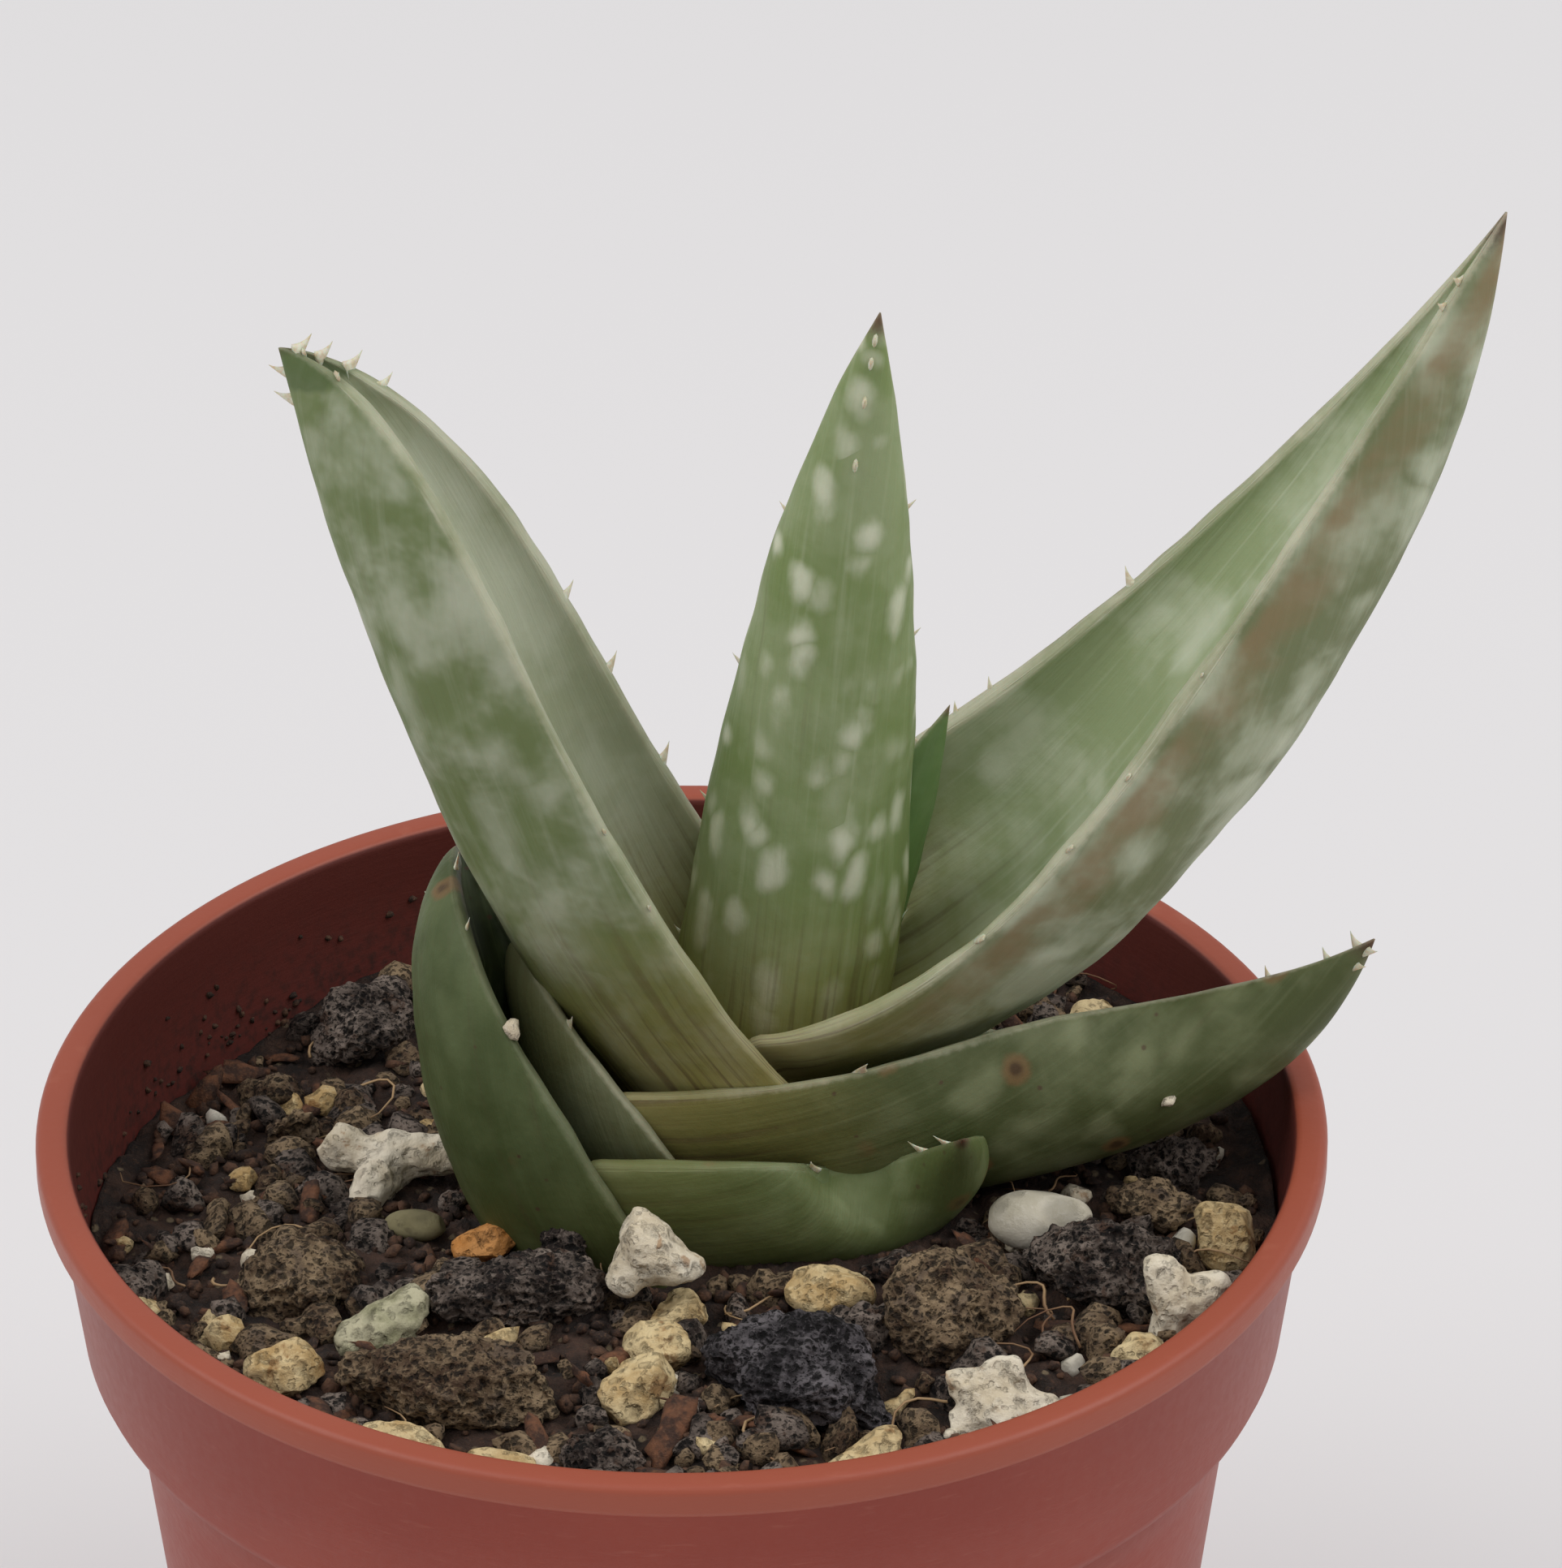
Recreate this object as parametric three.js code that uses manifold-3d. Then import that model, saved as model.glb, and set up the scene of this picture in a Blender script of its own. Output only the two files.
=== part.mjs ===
// A young two-ranked aloe in a small plastic nursery pot of gritty soil.
// Millimetres, +Z up. The origin is the centre of the pot's underside.
import * as THREE from 'three';
import Module from 'manifold-3d';
import { LoftGeometry } from 'three/addons/geometries/LoftGeometry.js';
import { mergeVertices } from 'three/addons/utils/BufferGeometryUtils.js';

const wasm = await Module();
wasm.setup();

// The clear gap between neighbours that touch on the real thing.
const GAP = 0.3;

// Pot: radii of the outside, then heights up from the underside.
const POT = {
  height: 55,
  lipRadius: 32.5,
  lipInner: 30.8,
  lipHeight: 1.8,
  collarTop: 31.6,
  collarBottom: 30.5,
  collarHeight: 10.8,
  shoulderHeight: 2.2,
  bodyTop: 28.3,
  bodyBottom: 23.5,
  footRound: 1,
  wall: 0.8,
  floor: 1.2,
  drainRadius: 2.5,
  drainRing: 14,
  drains: 4,
  drainSides: 12,
  sides: 42,
};

// Soil: its level below the rim, and how far it falls away toward the back left.
const SOIL = {
  level: 5.2,
  fall: 2.8,
  fallReach: 25,
  fallToward: [-0.6, 0.8],
  bump: 0.35,
  bumpWave: 6.5,
  rings: 7,
  sides: 34,
};

// Stem and rootstock, in a plain hole in the soil. The plant is measured from the rim's centre.
const STEM = { top: [5.3, 4.6, -0.6], foot: [3.2, 4.2, -19], topRadius: 3.2, footRadius: 1.6, sides: 12 };

// Leaf flesh: the share of its full thickness at the base, the margin's width, the thinnest place,
// and how near to the very tip the blade is drawn.
const BLADE = { baseShare: 0.42, margin: 0.9, thinnest: 0.7, reach: 0.985 };

// Every leaf base runs on and then bends down round the stem as a sheath, drawn in toward the
// stem's axis. steps are the places of its sections, from its foot in the soil back to the leaf.
const SHEATH = { foot: -11.5, drawnIn: 0.3, runOn: 3, steps: [1, 0.62, 0.28] };

// Facets of a blade: rows along it, strips round its back and strips round its channel. The filled
// one has no channel: it is what a leaf takes out of its outer neighbours, the soil and the stones.
const LEAF = { rows: 13, back: 8, channel: 5 };
const FILLED = { rows: 9, back: 8, channel: 0, gap: 0.45 };

// Teeth: triangular prickles on the margins and on the ridge of the back near the tip.
const TOOTH = { radius: 0.45, length: 0.95, sunk: 0.45, sides: 3 };

// Leaves from the innermost to the outermost. ridge is the line of the back, root first, and opens
// is the direction that the channel faces at the root and at the tip. The half width and the depth
// of the channel-shaped section fall off as 1 - t^taper. clasp is how far the margins run back
// round the stem. left and right are seen from the root with the channel up.
const LEAVES = {
  leaf_youngest: {
    ridge: [[5.9, 4.8, -0.9], [9.2, 4.9, 6], [11.8, 6.1, 13.2], [13.5, 6.1, 20.3]],
    opens: [[-0.24, 0.96, 0.13], [-0.38, 0.92, 0.14]],
    halfWidth: 3.5, widthTaper: 1.8, depth: 3.4, depthTaper: 1.8, thickness: 1.6, clasp: 1,
    teeth: { left: [0.55, 0.75, 0.93], right: [0.4, 0.51, 0.68, 0.86], ridge: [] },
  },
  leaf_centre: {
    ridge: [[4.9, 0.7, -1.8], [7, 0.8, 15.8], [7.5, 1.6, 31], [9.8, 2.1, 44.6]],
    opens: [[-0.09, 0.99, 0.03], [0.11, 0.99, 0.02]],
    halfWidth: 5.7, widthTaper: 2.2, depth: 5.9, depthTaper: 1.75, thickness: 2.6, clasp: 2,
    teeth: { left: [0.2, 0.36, 0.55, 0.72], right: [0.174, 0.33, 0.5, 0.7], ridge: [0.8, 0.88, 0.93, 0.96] },
  },
  leaf_right_tall: {
    ridge: [[9, 9.2, -0.5], [23, 7, 3], [39.3, 6.4, 26.3], [40.2, 6.7, 47.5]],
    opens: [[-0.25, -0.41, 0.86], [-0.98, 0.04, 0.11]],
    halfWidth: 7.7, widthTaper: 2.2, depth: 11, depthTaper: 2.9, thickness: 7, clasp: 1.8,
    teeth: { left: [0.327, 0.373, 0.547], right: [0.283, 0.402, 0.482, 0.586, 0.918, 0.939], ridge: [] },
  },
  leaf_left_tall: {
    ridge: [[-1.7, 3.9, -2], [-13.7, 3, 13.4], [-18.2, 5.1, 36.8], [-19.4, 6.6, 40.4]],
    opens: [[0.75, -0.08, 0.64], [0.89, -0.32, 0.37]],
    halfWidth: 6.3, widthTaper: 1.7, depth: 9.4, depthTaper: 3.7, thickness: 6.4, clasp: 1.4,
    teeth: { left: [0.25, 0.334, 0.9, 0.96], right: [0.285, 0.403, 0.5, 0.85, 0.9, 0.94, 0.97], ridge: [0.86, 0.92] },
  },
  leaf_right_low: {
    ridge: [[2.2, 2.6, -6.1], [16.7, -1.9, -5.7], [28.4, -0.6, -1.5], [34.8, 1.8, 9.1]],
    opens: [[-0.06, 0.05, 0.99], [-0.23, 0.97, 0.02]],
    halfWidth: 7.1, widthTaper: 2.3, depth: 8.8, depthTaper: 1.8, thickness: 4.5, clasp: 3,
    teeth: { left: [0.3, 0.5, 0.7, 0.9, 0.96], right: [0.24, 0.85, 0.93, 0.97], ridge: [0.95, 0.975] },
  },
  leaf_left_inner: {
    ridge: [[-4.6, 1.9, -7.4], [-7.6, 1.8, 0], [-9.3, 2.5, 4.8], [-8.2, 7.8, 6.9]],
    opens: [[0.91, 0.06, 0.39], [0.8, -0.14, 0.57]],
    halfWidth: 6.8, widthTaper: 2, depth: 7.3, depthTaper: 1.6, thickness: 2, clasp: 2,
    teeth: { left: [0.6, 0.8], right: [0.6, 0.8], ridge: [] },
  },
  leaf_front_short: {
    ridge: [[1.1, -0.9, -8.4], [11.9, -3.6, -7.9], [14.7, -2.6, -5.6], [13.9, -7, 3]],
    opens: [[-0.19, 0.1, 0.96], [-0.25, 0.6, 0.74]],
    halfWidth: 6.5, widthTaper: 2.1, depth: 8.8, depthTaper: 1.6, thickness: 2.6, clasp: 3.5,
    teeth: { left: [0.7], right: [0.5, 0.86, 0.93], ridge: [] },
  },
  leaf_left_low: {
    ridge: [[-9.2, 0.6, -8], [-14.9, -0.1, 2.3], [-13.6, 2.4, 8.3], [-11.3, 9.5, 10.2]],
    opens: [[0.88, -0.01, 0.46], [0.81, -0.01, 0.57]],
    halfWidth: 7.4, widthTaper: 2.1, depth: 8.5, depthTaper: 2.05, thickness: 3.4, clasp: 2,
    teeth: { left: [0.7, 0.85], right: [0.7, 0.85], ridge: [0.83, 0.88, 0.95] },
  },
};

// Kinds of stone: how far the round core and the lobes reach, how many lobes, how fine the facets.
const KINDS = {
  pebble: { core: 0.92, lobe: 0.12, lobes: 5, colour: 0xb7b3a4, roughness: 0.8 },
  pumice: { core: 0.72, lobe: 0.34, lobes: 7, colour: 0xcfc6b2, roughness: 0.95 },
  yellow: { core: 0.82, lobe: 0.22, lobes: 6, colour: 0xb79b63, roughness: 0.9 },
  lava: { core: 0.78, lobe: 0.26, lobes: 8, colour: 0x3b3a40, roughness: 0.95 },
  brown: { core: 0.78, lobe: 0.26, lobes: 8, colour: 0x5a4a3c, roughness: 0.95 },
};

// Stones: place from the pot's axis, size across, front to back and high, turn in degrees, and how
// far the middle stands above the soil. arms are lobes placed by hand instead of drawn, with their
// own core and reach, and the higher spread is, the slimmer they are.
const STONES = {
  stone_fork_white: {
    kind: 'pumice', at: [-14.9, 3.4], size: [7.9, 5.8, 3.4], turn: 0, rise: 1,
    arms: [[-0.95, 0.3, 0.1], [1, -0.05, 0.1], [-0.35, -0.9, -0.2]], core: 0.4, lobe: 0.75, spread: 9,
  },
  stone_white_by_leaf: {
    kind: 'pumice', at: [-1.4, -9.6], size: [4.9, 3.8, 4.2], turn: 0, rise: 3.9,
    arms: [[-0.35, 0.1, 0.95], [0.95, -0.2, -0.3], [-0.75, -0.2, -0.7]], core: 0.62, lobe: 0.5, spread: 5,
  },
  stone_yellow_under: { kind: 'yellow', at: [-0.1, -10.4], size: [3.2, 2.8, 2.4], turn: 5, rise: 0.7 },
  stone_orange: {
    kind: 'yellow', at: [-9.7, -4.2], size: [3.9, 2.4, 2.2], turn: 15, rise: 0.9,
    arms: [[-0.95, 0, -0.1], [0.85, 0.2, 0.5]], core: 0.6, lobe: 0.5, spread: 4,
  },
  stone_grey_green: { kind: 'pebble', at: [-13.5, -1.9], size: [3.2, 2, 1.6], turn: -12, rise: 0.4 },
  stone_dark_back: { kind: 'lava', at: [-5.7, -6.2], size: [3.6, 2.8, 2.6], turn: 30, rise: 1.6 },
  stone_dark_left: { kind: 'lava', at: [-8.2, -10], size: [9.6, 4.8, 4], turn: 8, rise: 0.9 },
  stone_pumice_green: {
    kind: 'pumice', at: [-14.9, -12], size: [5, 3.8, 3.2], turn: 0, rise: 0.7,
    arms: [[-0.7, -0.2, -0.2], [0.8, 0.3, 0.6]], core: 0.6, lobe: 0.55, spread: 6,
  },
  stone_yellow_left: { kind: 'yellow', at: [-19.6, -15.8], size: [4, 3.3, 3.3], turn: 10, rise: 0.7 },
  stone_brown_front: { kind: 'brown', at: [-11.2, -17.6], size: [11.4, 6, 4.8], turn: -12, rise: 0.9 },
  stone_black: { kind: 'lava', at: [5.7, -17.2], size: [10.2, 7, 5.6], turn: -6, rise: 1.1 },
  stone_yellow_mid: { kind: 'yellow', at: [-1.2, -13.9], size: [4, 3, 2.5], turn: -15, rise: 0.7 },
  stone_yellow_front: { kind: 'yellow', at: [-2.3, -18.3], size: [4.7, 3.8, 3.1], turn: 18, rise: 0.8 },
  stone_cream_mid: { kind: 'yellow', at: [7.3, -9.6], size: [4.7, 3.2, 2.9], turn: -20, rise: 0.9 },
  stone_grey_small: { kind: 'lava', at: [9.1, -12.4], size: [3.7, 2.8, 2.3], turn: 10, rise: 0.7 },
  stone_brown_right: { kind: 'brown', at: [13.4, -11.6], size: [7.2, 6.2, 6.4], turn: 20, rise: 1 },
  stone_white_oval: { kind: 'pebble', at: [17.9, -4.6], size: [5.3, 3.2, 3], turn: -4, rise: 1.4 },
  stone_porous_grey: { kind: 'lava', at: [21, -8.2], size: [8, 5.6, 5.4], turn: 6, rise: 1.2 },
  stone_brown_yellow: { kind: 'brown', at: [23.6, -2.2], size: [5, 3, 2.7], turn: -12, rise: 0.9 },
  stone_dark_right: { kind: 'lava', at: [24.8, 2.6], size: [4.4, 3.1, 2.5], turn: -15, rise: 0.5 },
  stone_yellow_right: { kind: 'yellow', at: [27.2, -5.2], size: [3.6, 3.4, 4.6], turn: 0, rise: 1 },
  stone_white_right: {
    kind: 'pumice', at: [24.9, -11.8], size: [4.3, 3.6, 5], turn: 0, rise: 1.2,
    arms: [[-0.55, 0.1, 0.85], [0.95, 0, 0.4], [-0.3, -0.3, -0.9], [0.6, 0.1, -0.8]],
    core: 0.55, lobe: 0.55, spread: 6,
  },
  stone_cream_right: { kind: 'yellow', at: [22.4, -15.4], size: [2.8, 2.4, 2.2], turn: 0, rise: 0.5 },
  stone_knobbly_white: {
    kind: 'pumice', at: [15.4, -19.2], size: [6, 4.3, 3.6], turn: -12, rise: 0.9,
    arms: [[-0.8, 0.1, 0.6], [0.1, 0.4, 0.8], [0.95, 0.1, 0.1], [-0.6, -0.6, -0.4], [0.35, -0.8, 0.1]],
    core: 0.6, lobe: 0.5, spread: 9,
  },
  stone_cream_front: {
    kind: 'yellow', at: [8.8, -23.6], size: [4.9, 2.8, 2.3], turn: 18, rise: 0.9,
    arms: [[-1, -0.1, -0.1], [0.75, 0.3, 0.6], [0.9, -0.4, -0.2]], core: 0.5, lobe: 0.55, spread: 5,
  },
  stone_cream_shard: { kind: 'yellow', at: [-13.7, -22.2], size: [5.2, 2.6, 2.1], turn: -16, rise: 0.6 },
  stone_orange_front: { kind: 'yellow', at: [-8.9, -23.8], size: [3.9, 2.3, 1.9], turn: -6, rise: 0.6 },
  stone_dark_front: { kind: 'lava', at: [-4.1, -23.4], size: [4.1, 3.3, 2.7], turn: 12, rise: 0.5 },
  stone_brown_left: { kind: 'brown', at: [-20.2, 9.2], size: [2.8, 2.4, 3.2], turn: 20, rise: 0.7 },
  stone_dark_far: { kind: 'lava', at: [-16.6, 19], size: [6, 5, 4], turn: 30, rise: 0.6 },
  stone_bark_left: { kind: 'brown', at: [-19, -6.8], size: [7.2, 6, 4.6], turn: 35, rise: 0.4 },
  stone_grey_far: { kind: 'lava', at: [14.5, 20.5], size: [5.6, 4.4, 3.6], turn: -25, rise: 0.6 },
  stone_white_far: { kind: 'pumice', at: [3, 24.4], size: [4.2, 3.4, 2.8], turn: 10, rise: 0.7 },
  stone_yellow_far: { kind: 'yellow', at: [21.5, 14.8], size: [3.6, 3, 2.6], turn: 40, rise: 0.7 },
};
// Stones larger than smallTo get more facets. The soil's sockets have few, but under a stone with
// lobes slimmer than the spread named here a socket is as fine as its stone.
const STONE = { facets: 2, smallFacets: 1, smallTo: 4.5, spread: 5, seed: 11, seedStep: 97 };
const SOCKET = { facets: 1, gap: 0.55, slim: 8 };

const COLOURS = { pot: 0x9c5743, soil: 0x2c201b, stem: 0x8a7a58, inner: 0x8f9a76, outer: 0x5f6b43 };

// Draws numbers from 0 to 1 in the same order for the same seed.
function drawer(seed) {
  const modulus = 2147483647;
  let state = seed;
  return () => {
    state = (state * 16807) % modulus;
    return state / modulus;
  };
}

// A closed three.js geometry as a solid that can be joined and cut.
function solid(geometry) {
  const plain = new THREE.BufferGeometry();
  plain.setAttribute('position', geometry.attributes.position);
  plain.setIndex(geometry.index);
  const merged = mergeVertices(plain, 1e-4);
  const index = [];
  for (let i = 0; i < merged.index.count; i += 3) {
    const corners = [0, 1, 2].map((k) => merged.index.getX(i + k));
    if (new Set(corners).size === 3) index.push(...corners);
  }
  return new wasm.Manifold(new wasm.Mesh({
    numProp: 3,
    vertProperties: Float32Array.from(merged.attributes.position.array),
    triVerts: Uint32Array.from(index),
  }));
}

// The largest connected body of a solid, so that no scrap is left by a cut.
function largest(body) {
  return body.decompose().reduce((best, piece) => (piece.volume() > best.volume() ? piece : best));
}

// A solid as a named mesh with its own colour.
function part(name, body, colour, roughness) {
  const { vertProperties, triVerts } = body.getMesh();
  const geometry = new THREE.BufferGeometry();
  geometry.setAttribute('position', new THREE.BufferAttribute(Float32Array.from(vertProperties), 3));
  geometry.setIndex(new THREE.BufferAttribute(Uint32Array.from(triVerts), 1));
  geometry.computeVertexNormals();
  const material = new THREE.MeshStandardMaterial({ color: colour, roughness, metalness: 0 });
  const mesh = new THREE.Mesh(geometry, material);
  mesh.name = name;
  return mesh;
}

// Turns a profile of [radius, height] points round the Z axis.
function turned(profile, sides) {
  const points = profile.map(([radius, height]) => new THREE.Vector2(radius, height));
  return new THREE.LatheGeometry(points, sides).rotateX(Math.PI / 2);
}

// Height of the soil's surface at a place, from the pot's underside.
function soilHeight(x, y) {
  const [towardX, towardY] = SOIL.fallToward;
  const away = THREE.MathUtils.clamp((x * towardX + y * towardY) / SOIL.fallReach, 0, 1);
  const wave = Math.sin(x / SOIL.bumpWave * 2.3 + 1) * Math.cos(y / SOIL.bumpWave * 1.9)
    + Math.sin((x + y) / SOIL.bumpWave * 1.3);
  return POT.height - SOIL.level - SOIL.fall * away + SOIL.bump * wave;
}

function potSolid() {
  const collarFoot = POT.height - POT.collarHeight;
  const shoulderFoot = collarFoot - POT.shoulderHeight;
  const wall = POT.wall;
  const profile = [
    [0, 0],
    [POT.bodyBottom - POT.footRound, 0],
    [POT.bodyBottom, POT.footRound],
    [POT.bodyTop, shoulderFoot],
    [POT.collarBottom - 0.5, collarFoot - 1],
    [POT.collarBottom, collarFoot],
    [POT.collarTop, POT.height - POT.lipHeight],
    [POT.lipRadius, POT.height - POT.lipHeight],
    [POT.lipRadius, POT.height],
    [POT.lipInner, POT.height],
    [POT.collarTop - wall, POT.height - POT.lipHeight],
    [POT.collarBottom - wall, collarFoot],
    [POT.bodyTop - wall, shoulderFoot],
    [POT.bodyBottom - wall, POT.floor],
    [0, POT.floor],
  ];
  let pot = solid(turned(profile, POT.sides));
  for (let i = 0; i < POT.drains; i += 1) {
    const angle = (i + 0.5) / POT.drains * 2 * Math.PI;
    const hole = new THREE.CylinderGeometry(POT.drainRadius, POT.drainRadius, 4 * POT.floor, POT.drainSides)
      .rotateX(Math.PI / 2)
      .translate(POT.drainRing * Math.cos(angle), POT.drainRing * Math.sin(angle), 0);
    pot = pot.subtract(solid(hole));
  }
  return pot;
}

function soilSolid() {
  const collarFoot = POT.height - POT.collarHeight;
  const shoulderFoot = collarFoot - POT.shoulderHeight;
  const clear = POT.wall + GAP;
  const top = POT.height - SOIL.level;
  const edge = THREE.MathUtils.mapLinear(top, collarFoot, POT.height, POT.collarBottom, POT.collarTop) - clear;
  const profile = [
    [0, POT.floor + GAP],
    [POT.bodyBottom - clear, POT.floor + GAP],
    [POT.bodyTop - clear, shoulderFoot],
    [POT.collarBottom - clear - 0.1, collarFoot],
  ];
  for (let ring = 0; ring <= SOIL.rings; ring += 1) profile.push([(1 - ring / SOIL.rings) * (edge - 0.2), top]);
  const geometry = turned(profile, SOIL.sides);
  const position = geometry.attributes.position;
  for (let i = 0; i < position.count; i += 1) {
    if (position.getZ(i) < top - 0.01) continue;
    position.setZ(i, soilHeight(position.getX(i), position.getY(i)));
  }
  return solid(geometry);
}

function stemSolid(grow = 0) {
  const foot = new THREE.Vector3(...STEM.foot);
  const top = new THREE.Vector3(...STEM.top);
  const axis = top.clone().sub(foot);
  const geometry = new THREE.CylinderGeometry(
    STEM.topRadius + grow, STEM.footRadius + grow, axis.length() + 2 * grow, STEM.sides,
  );
  const turn = new THREE.Quaternion().setFromUnitVectors(new THREE.Vector3(0, 1, 0), axis.clone().normalize());
  geometry.applyQuaternion(turn);
  geometry.translate(...foot.add(top).multiplyScalar(0.5));
  return solid(geometry);
}

// The frame of a leaf at t from 0 at the root to 1 at the tip, with its half width and depth there.
function leafFrame(leaf, t) {
  const curve = new THREE.CubicBezierCurve3(...leaf.ridge.map((point) => new THREE.Vector3(...point)));
  const [rootward, tipward] = leaf.opens.map((direction) => new THREE.Vector3(...direction));
  const along = curve.getTangent(t);
  const opens = rootward.lerp(tipward, t).projectOnPlane(along).normalize();
  return {
    ridge: curve.getPoint(t),
    along,
    opens,
    right: along.clone().cross(opens),
    halfWidth: leaf.halfWidth * (1 - t ** leaf.widthTaper),
    depth: leaf.depth * (1 - t ** leaf.depthTaper),
    clasp: leaf.clasp * (1 - t) ** 4,
    thickness: leaf.thickness * (1 - (1 - BLADE.baseShare) * (1 - t) ** 3),
  };
}

// A point of a leaf's section: side is 1 at the right margin and -1 at the left one, and up is 0
// on the ridge of the back and the frame's depth at the margins.
function sectionPoint(frame, side, up) {
  return frame.ridge.clone()
    .addScaledVector(frame.opens, up)
    .addScaledVector(frame.right, side)
    .addScaledVector(frame.along, -frame.clasp * Math.max(0, up / frame.depth));
}

// One section: round the back from the right margin to the left one, then back along the channel.
function leafSection(leaf, t, facets, grow) {
  const frame = leafFrame(leaf, t);
  const { halfWidth, depth } = frame;
  const flesh = Math.max(Math.min(frame.thickness, 0.7 * depth), Math.min(BLADE.thinnest, 0.8 * depth));
  const margin = Math.min(BLADE.margin, 0.6 * halfWidth);
  const points = [];
  for (let i = 0; i <= facets.back; i += 1) {
    const angle = Math.PI * i / facets.back;
    const up = depth + grow - (depth + 2 * grow) * Math.sin(angle);
    points.push(sectionPoint(frame, (halfWidth + grow) * Math.cos(angle), up));
  }
  for (let i = 0; facets.channel > 0 && i <= facets.channel; i += 1) {
    const angle = Math.PI * (1 - i / facets.channel);
    const up = depth + grow - (depth - flesh) * Math.sin(angle);
    points.push(sectionPoint(frame, (halfWidth - margin - grow) * Math.cos(angle), up));
  }
  return { points, along: frame.along };
}

// The stem's axis at a height.
function stemAxis(height) {
  const foot = new THREE.Vector3(...STEM.foot);
  const top = new THREE.Vector3(...STEM.top);
  return foot.lerp(top, (height - STEM.foot[2]) / (STEM.top[2] - STEM.foot[2]));
}

// The section of a leaf's sheath at a step from 0 at the leaf's root to 1 down in the soil.
function sheathSection(leaf, step, facets, grow) {
  const { points, along } = leafSection(leaf, 0, facets, grow);
  return points.map((point) => {
    const out = point.clone().sub(stemAxis(point.z)).multiplyScalar(1 - SHEATH.drawnIn);
    const foot = stemAxis(SHEATH.foot).add(out);
    const bend = point.clone().addScaledVector(along, -SHEATH.runOn);
    return new THREE.QuadraticBezierCurve3(point, bend, foot).getPoint(step);
  });
}

// A leaf's blade, grown on every side.
function bladeSolid(leaf, facets, grow = 0) {
  const sections = SHEATH.steps.map((step) => sheathSection(leaf, step, facets, grow));
  for (let row = 0; row <= facets.rows; row += 1) {
    const t = BLADE.reach * (1 - (1 - row / facets.rows) ** 1.25);
    const { points, along } = leafSection(leaf, t, facets, grow);
    if (row === facets.rows) points.forEach((point) => point.addScaledVector(along, grow));
    sections.push(points);
  }
  return solid(new LoftGeometry(sections, { capStart: true, capEnd: true }));
}

// A prickle at t on the left or right margin, or on the ridge of the back.
function toothSolid(leaf, t, place) {
  const frame = leafFrame(leaf, t);
  const side = { left: -1, right: 1, ridge: 0 }[place];
  const up = side === 0 ? 0 : frame.depth - 0.3;
  const inset = side === 0 ? 0 : 0.3;
  const root = sectionPoint(frame, side * (frame.halfWidth - inset), up);
  const out = side === 0
    ? frame.opens.clone().negate()
    : frame.right.clone().multiplyScalar(side * 0.7).addScaledVector(frame.opens, 0.5);
  out.addScaledVector(frame.along, 0.35).normalize();
  const geometry = new THREE.ConeGeometry(TOOTH.radius, TOOTH.length + TOOTH.sunk, TOOTH.sides);
  geometry.translate(0, (TOOTH.length - TOOTH.sunk) / 2, 0);
  geometry.applyQuaternion(new THREE.Quaternion().setFromUnitVectors(new THREE.Vector3(0, 1, 0), out));
  geometry.translate(...root);
  return solid(geometry);
}

function leafSolid(leaf) {
  let body = bladeSolid(leaf, LEAF);
  for (const [place, stations] of Object.entries(leaf.teeth)) {
    for (const t of stations) body = body.add(toothSolid(leaf, t, place));
  }
  return body;
}

// Directions and strengths of a stone's lobes.
function stoneLobes(stone, kind, seed) {
  if (stone.arms) return stone.arms.map((arm) => ({ toward: new THREE.Vector3(...arm).normalize(), reach: 1 }));
  const draw = drawer(seed);
  return Array.from({ length: kind.lobes }, () => {
    const height = 2 * draw() - 1;
    const angle = 2 * Math.PI * draw();
    const flat = Math.sqrt(1 - height * height);
    const toward = new THREE.Vector3(flat * Math.cos(angle), flat * Math.sin(angle), height);
    return { toward, reach: 0.4 + 0.6 * draw() };
  });
}

// A stone: a faceted ball whose vertices are pushed out along its lobes, then sized and placed.
function stoneSolid(stone, seed, facets, grow = 0) {
  const kind = KINDS[stone.kind];
  const core = stone.core ?? kind.core;
  const lobe = stone.lobe ?? kind.lobe;
  const spread = stone.spread ?? STONE.spread;
  const lobes = stoneLobes(stone, kind, seed);
  const geometry = new THREE.IcosahedronGeometry(1, facets);
  const position = geometry.attributes.position;
  const point = new THREE.Vector3();
  for (let i = 0; i < position.count; i += 1) {
    point.fromBufferAttribute(position, i).normalize();
    let radius = core;
    for (const { toward, reach } of lobes) {
      radius += lobe * reach * Math.max(0, point.dot(toward)) ** spread;
    }
    position.setXYZ(i, ...point.multiplyScalar(radius));
  }
  geometry.center();
  const extent = geometry.boundingBox.getSize(new THREE.Vector3());
  geometry.scale(...new THREE.Vector3(...stone.size).divide(extent));
  for (let i = 0; i < position.count; i += 1) {
    point.fromBufferAttribute(position, i);
    position.setXYZ(i, ...point.setLength(point.length() + grow));
  }
  const [x, y] = stone.at;
  geometry.rotateZ(THREE.MathUtils.degToRad(stone.turn));
  geometry.translate(x, y, soilHeight(x, y) + stone.rise);
  return solid(geometry);
}

const aloe = new THREE.Group();
const plant = new THREE.Group();
plant.position.z = POT.height;
aloe.add(plant);

// Everything is cut clear of what was placed before it: outer leaves of the inner ones, stones of
// the plant and of earlier stones, and the soil of them all.
const taken = [stemSolid(FILLED.gap)];
const clearOf = (body, cutters) => largest(cutters.reduce((rest, cutter) => rest.subtract(cutter), body));

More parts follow.
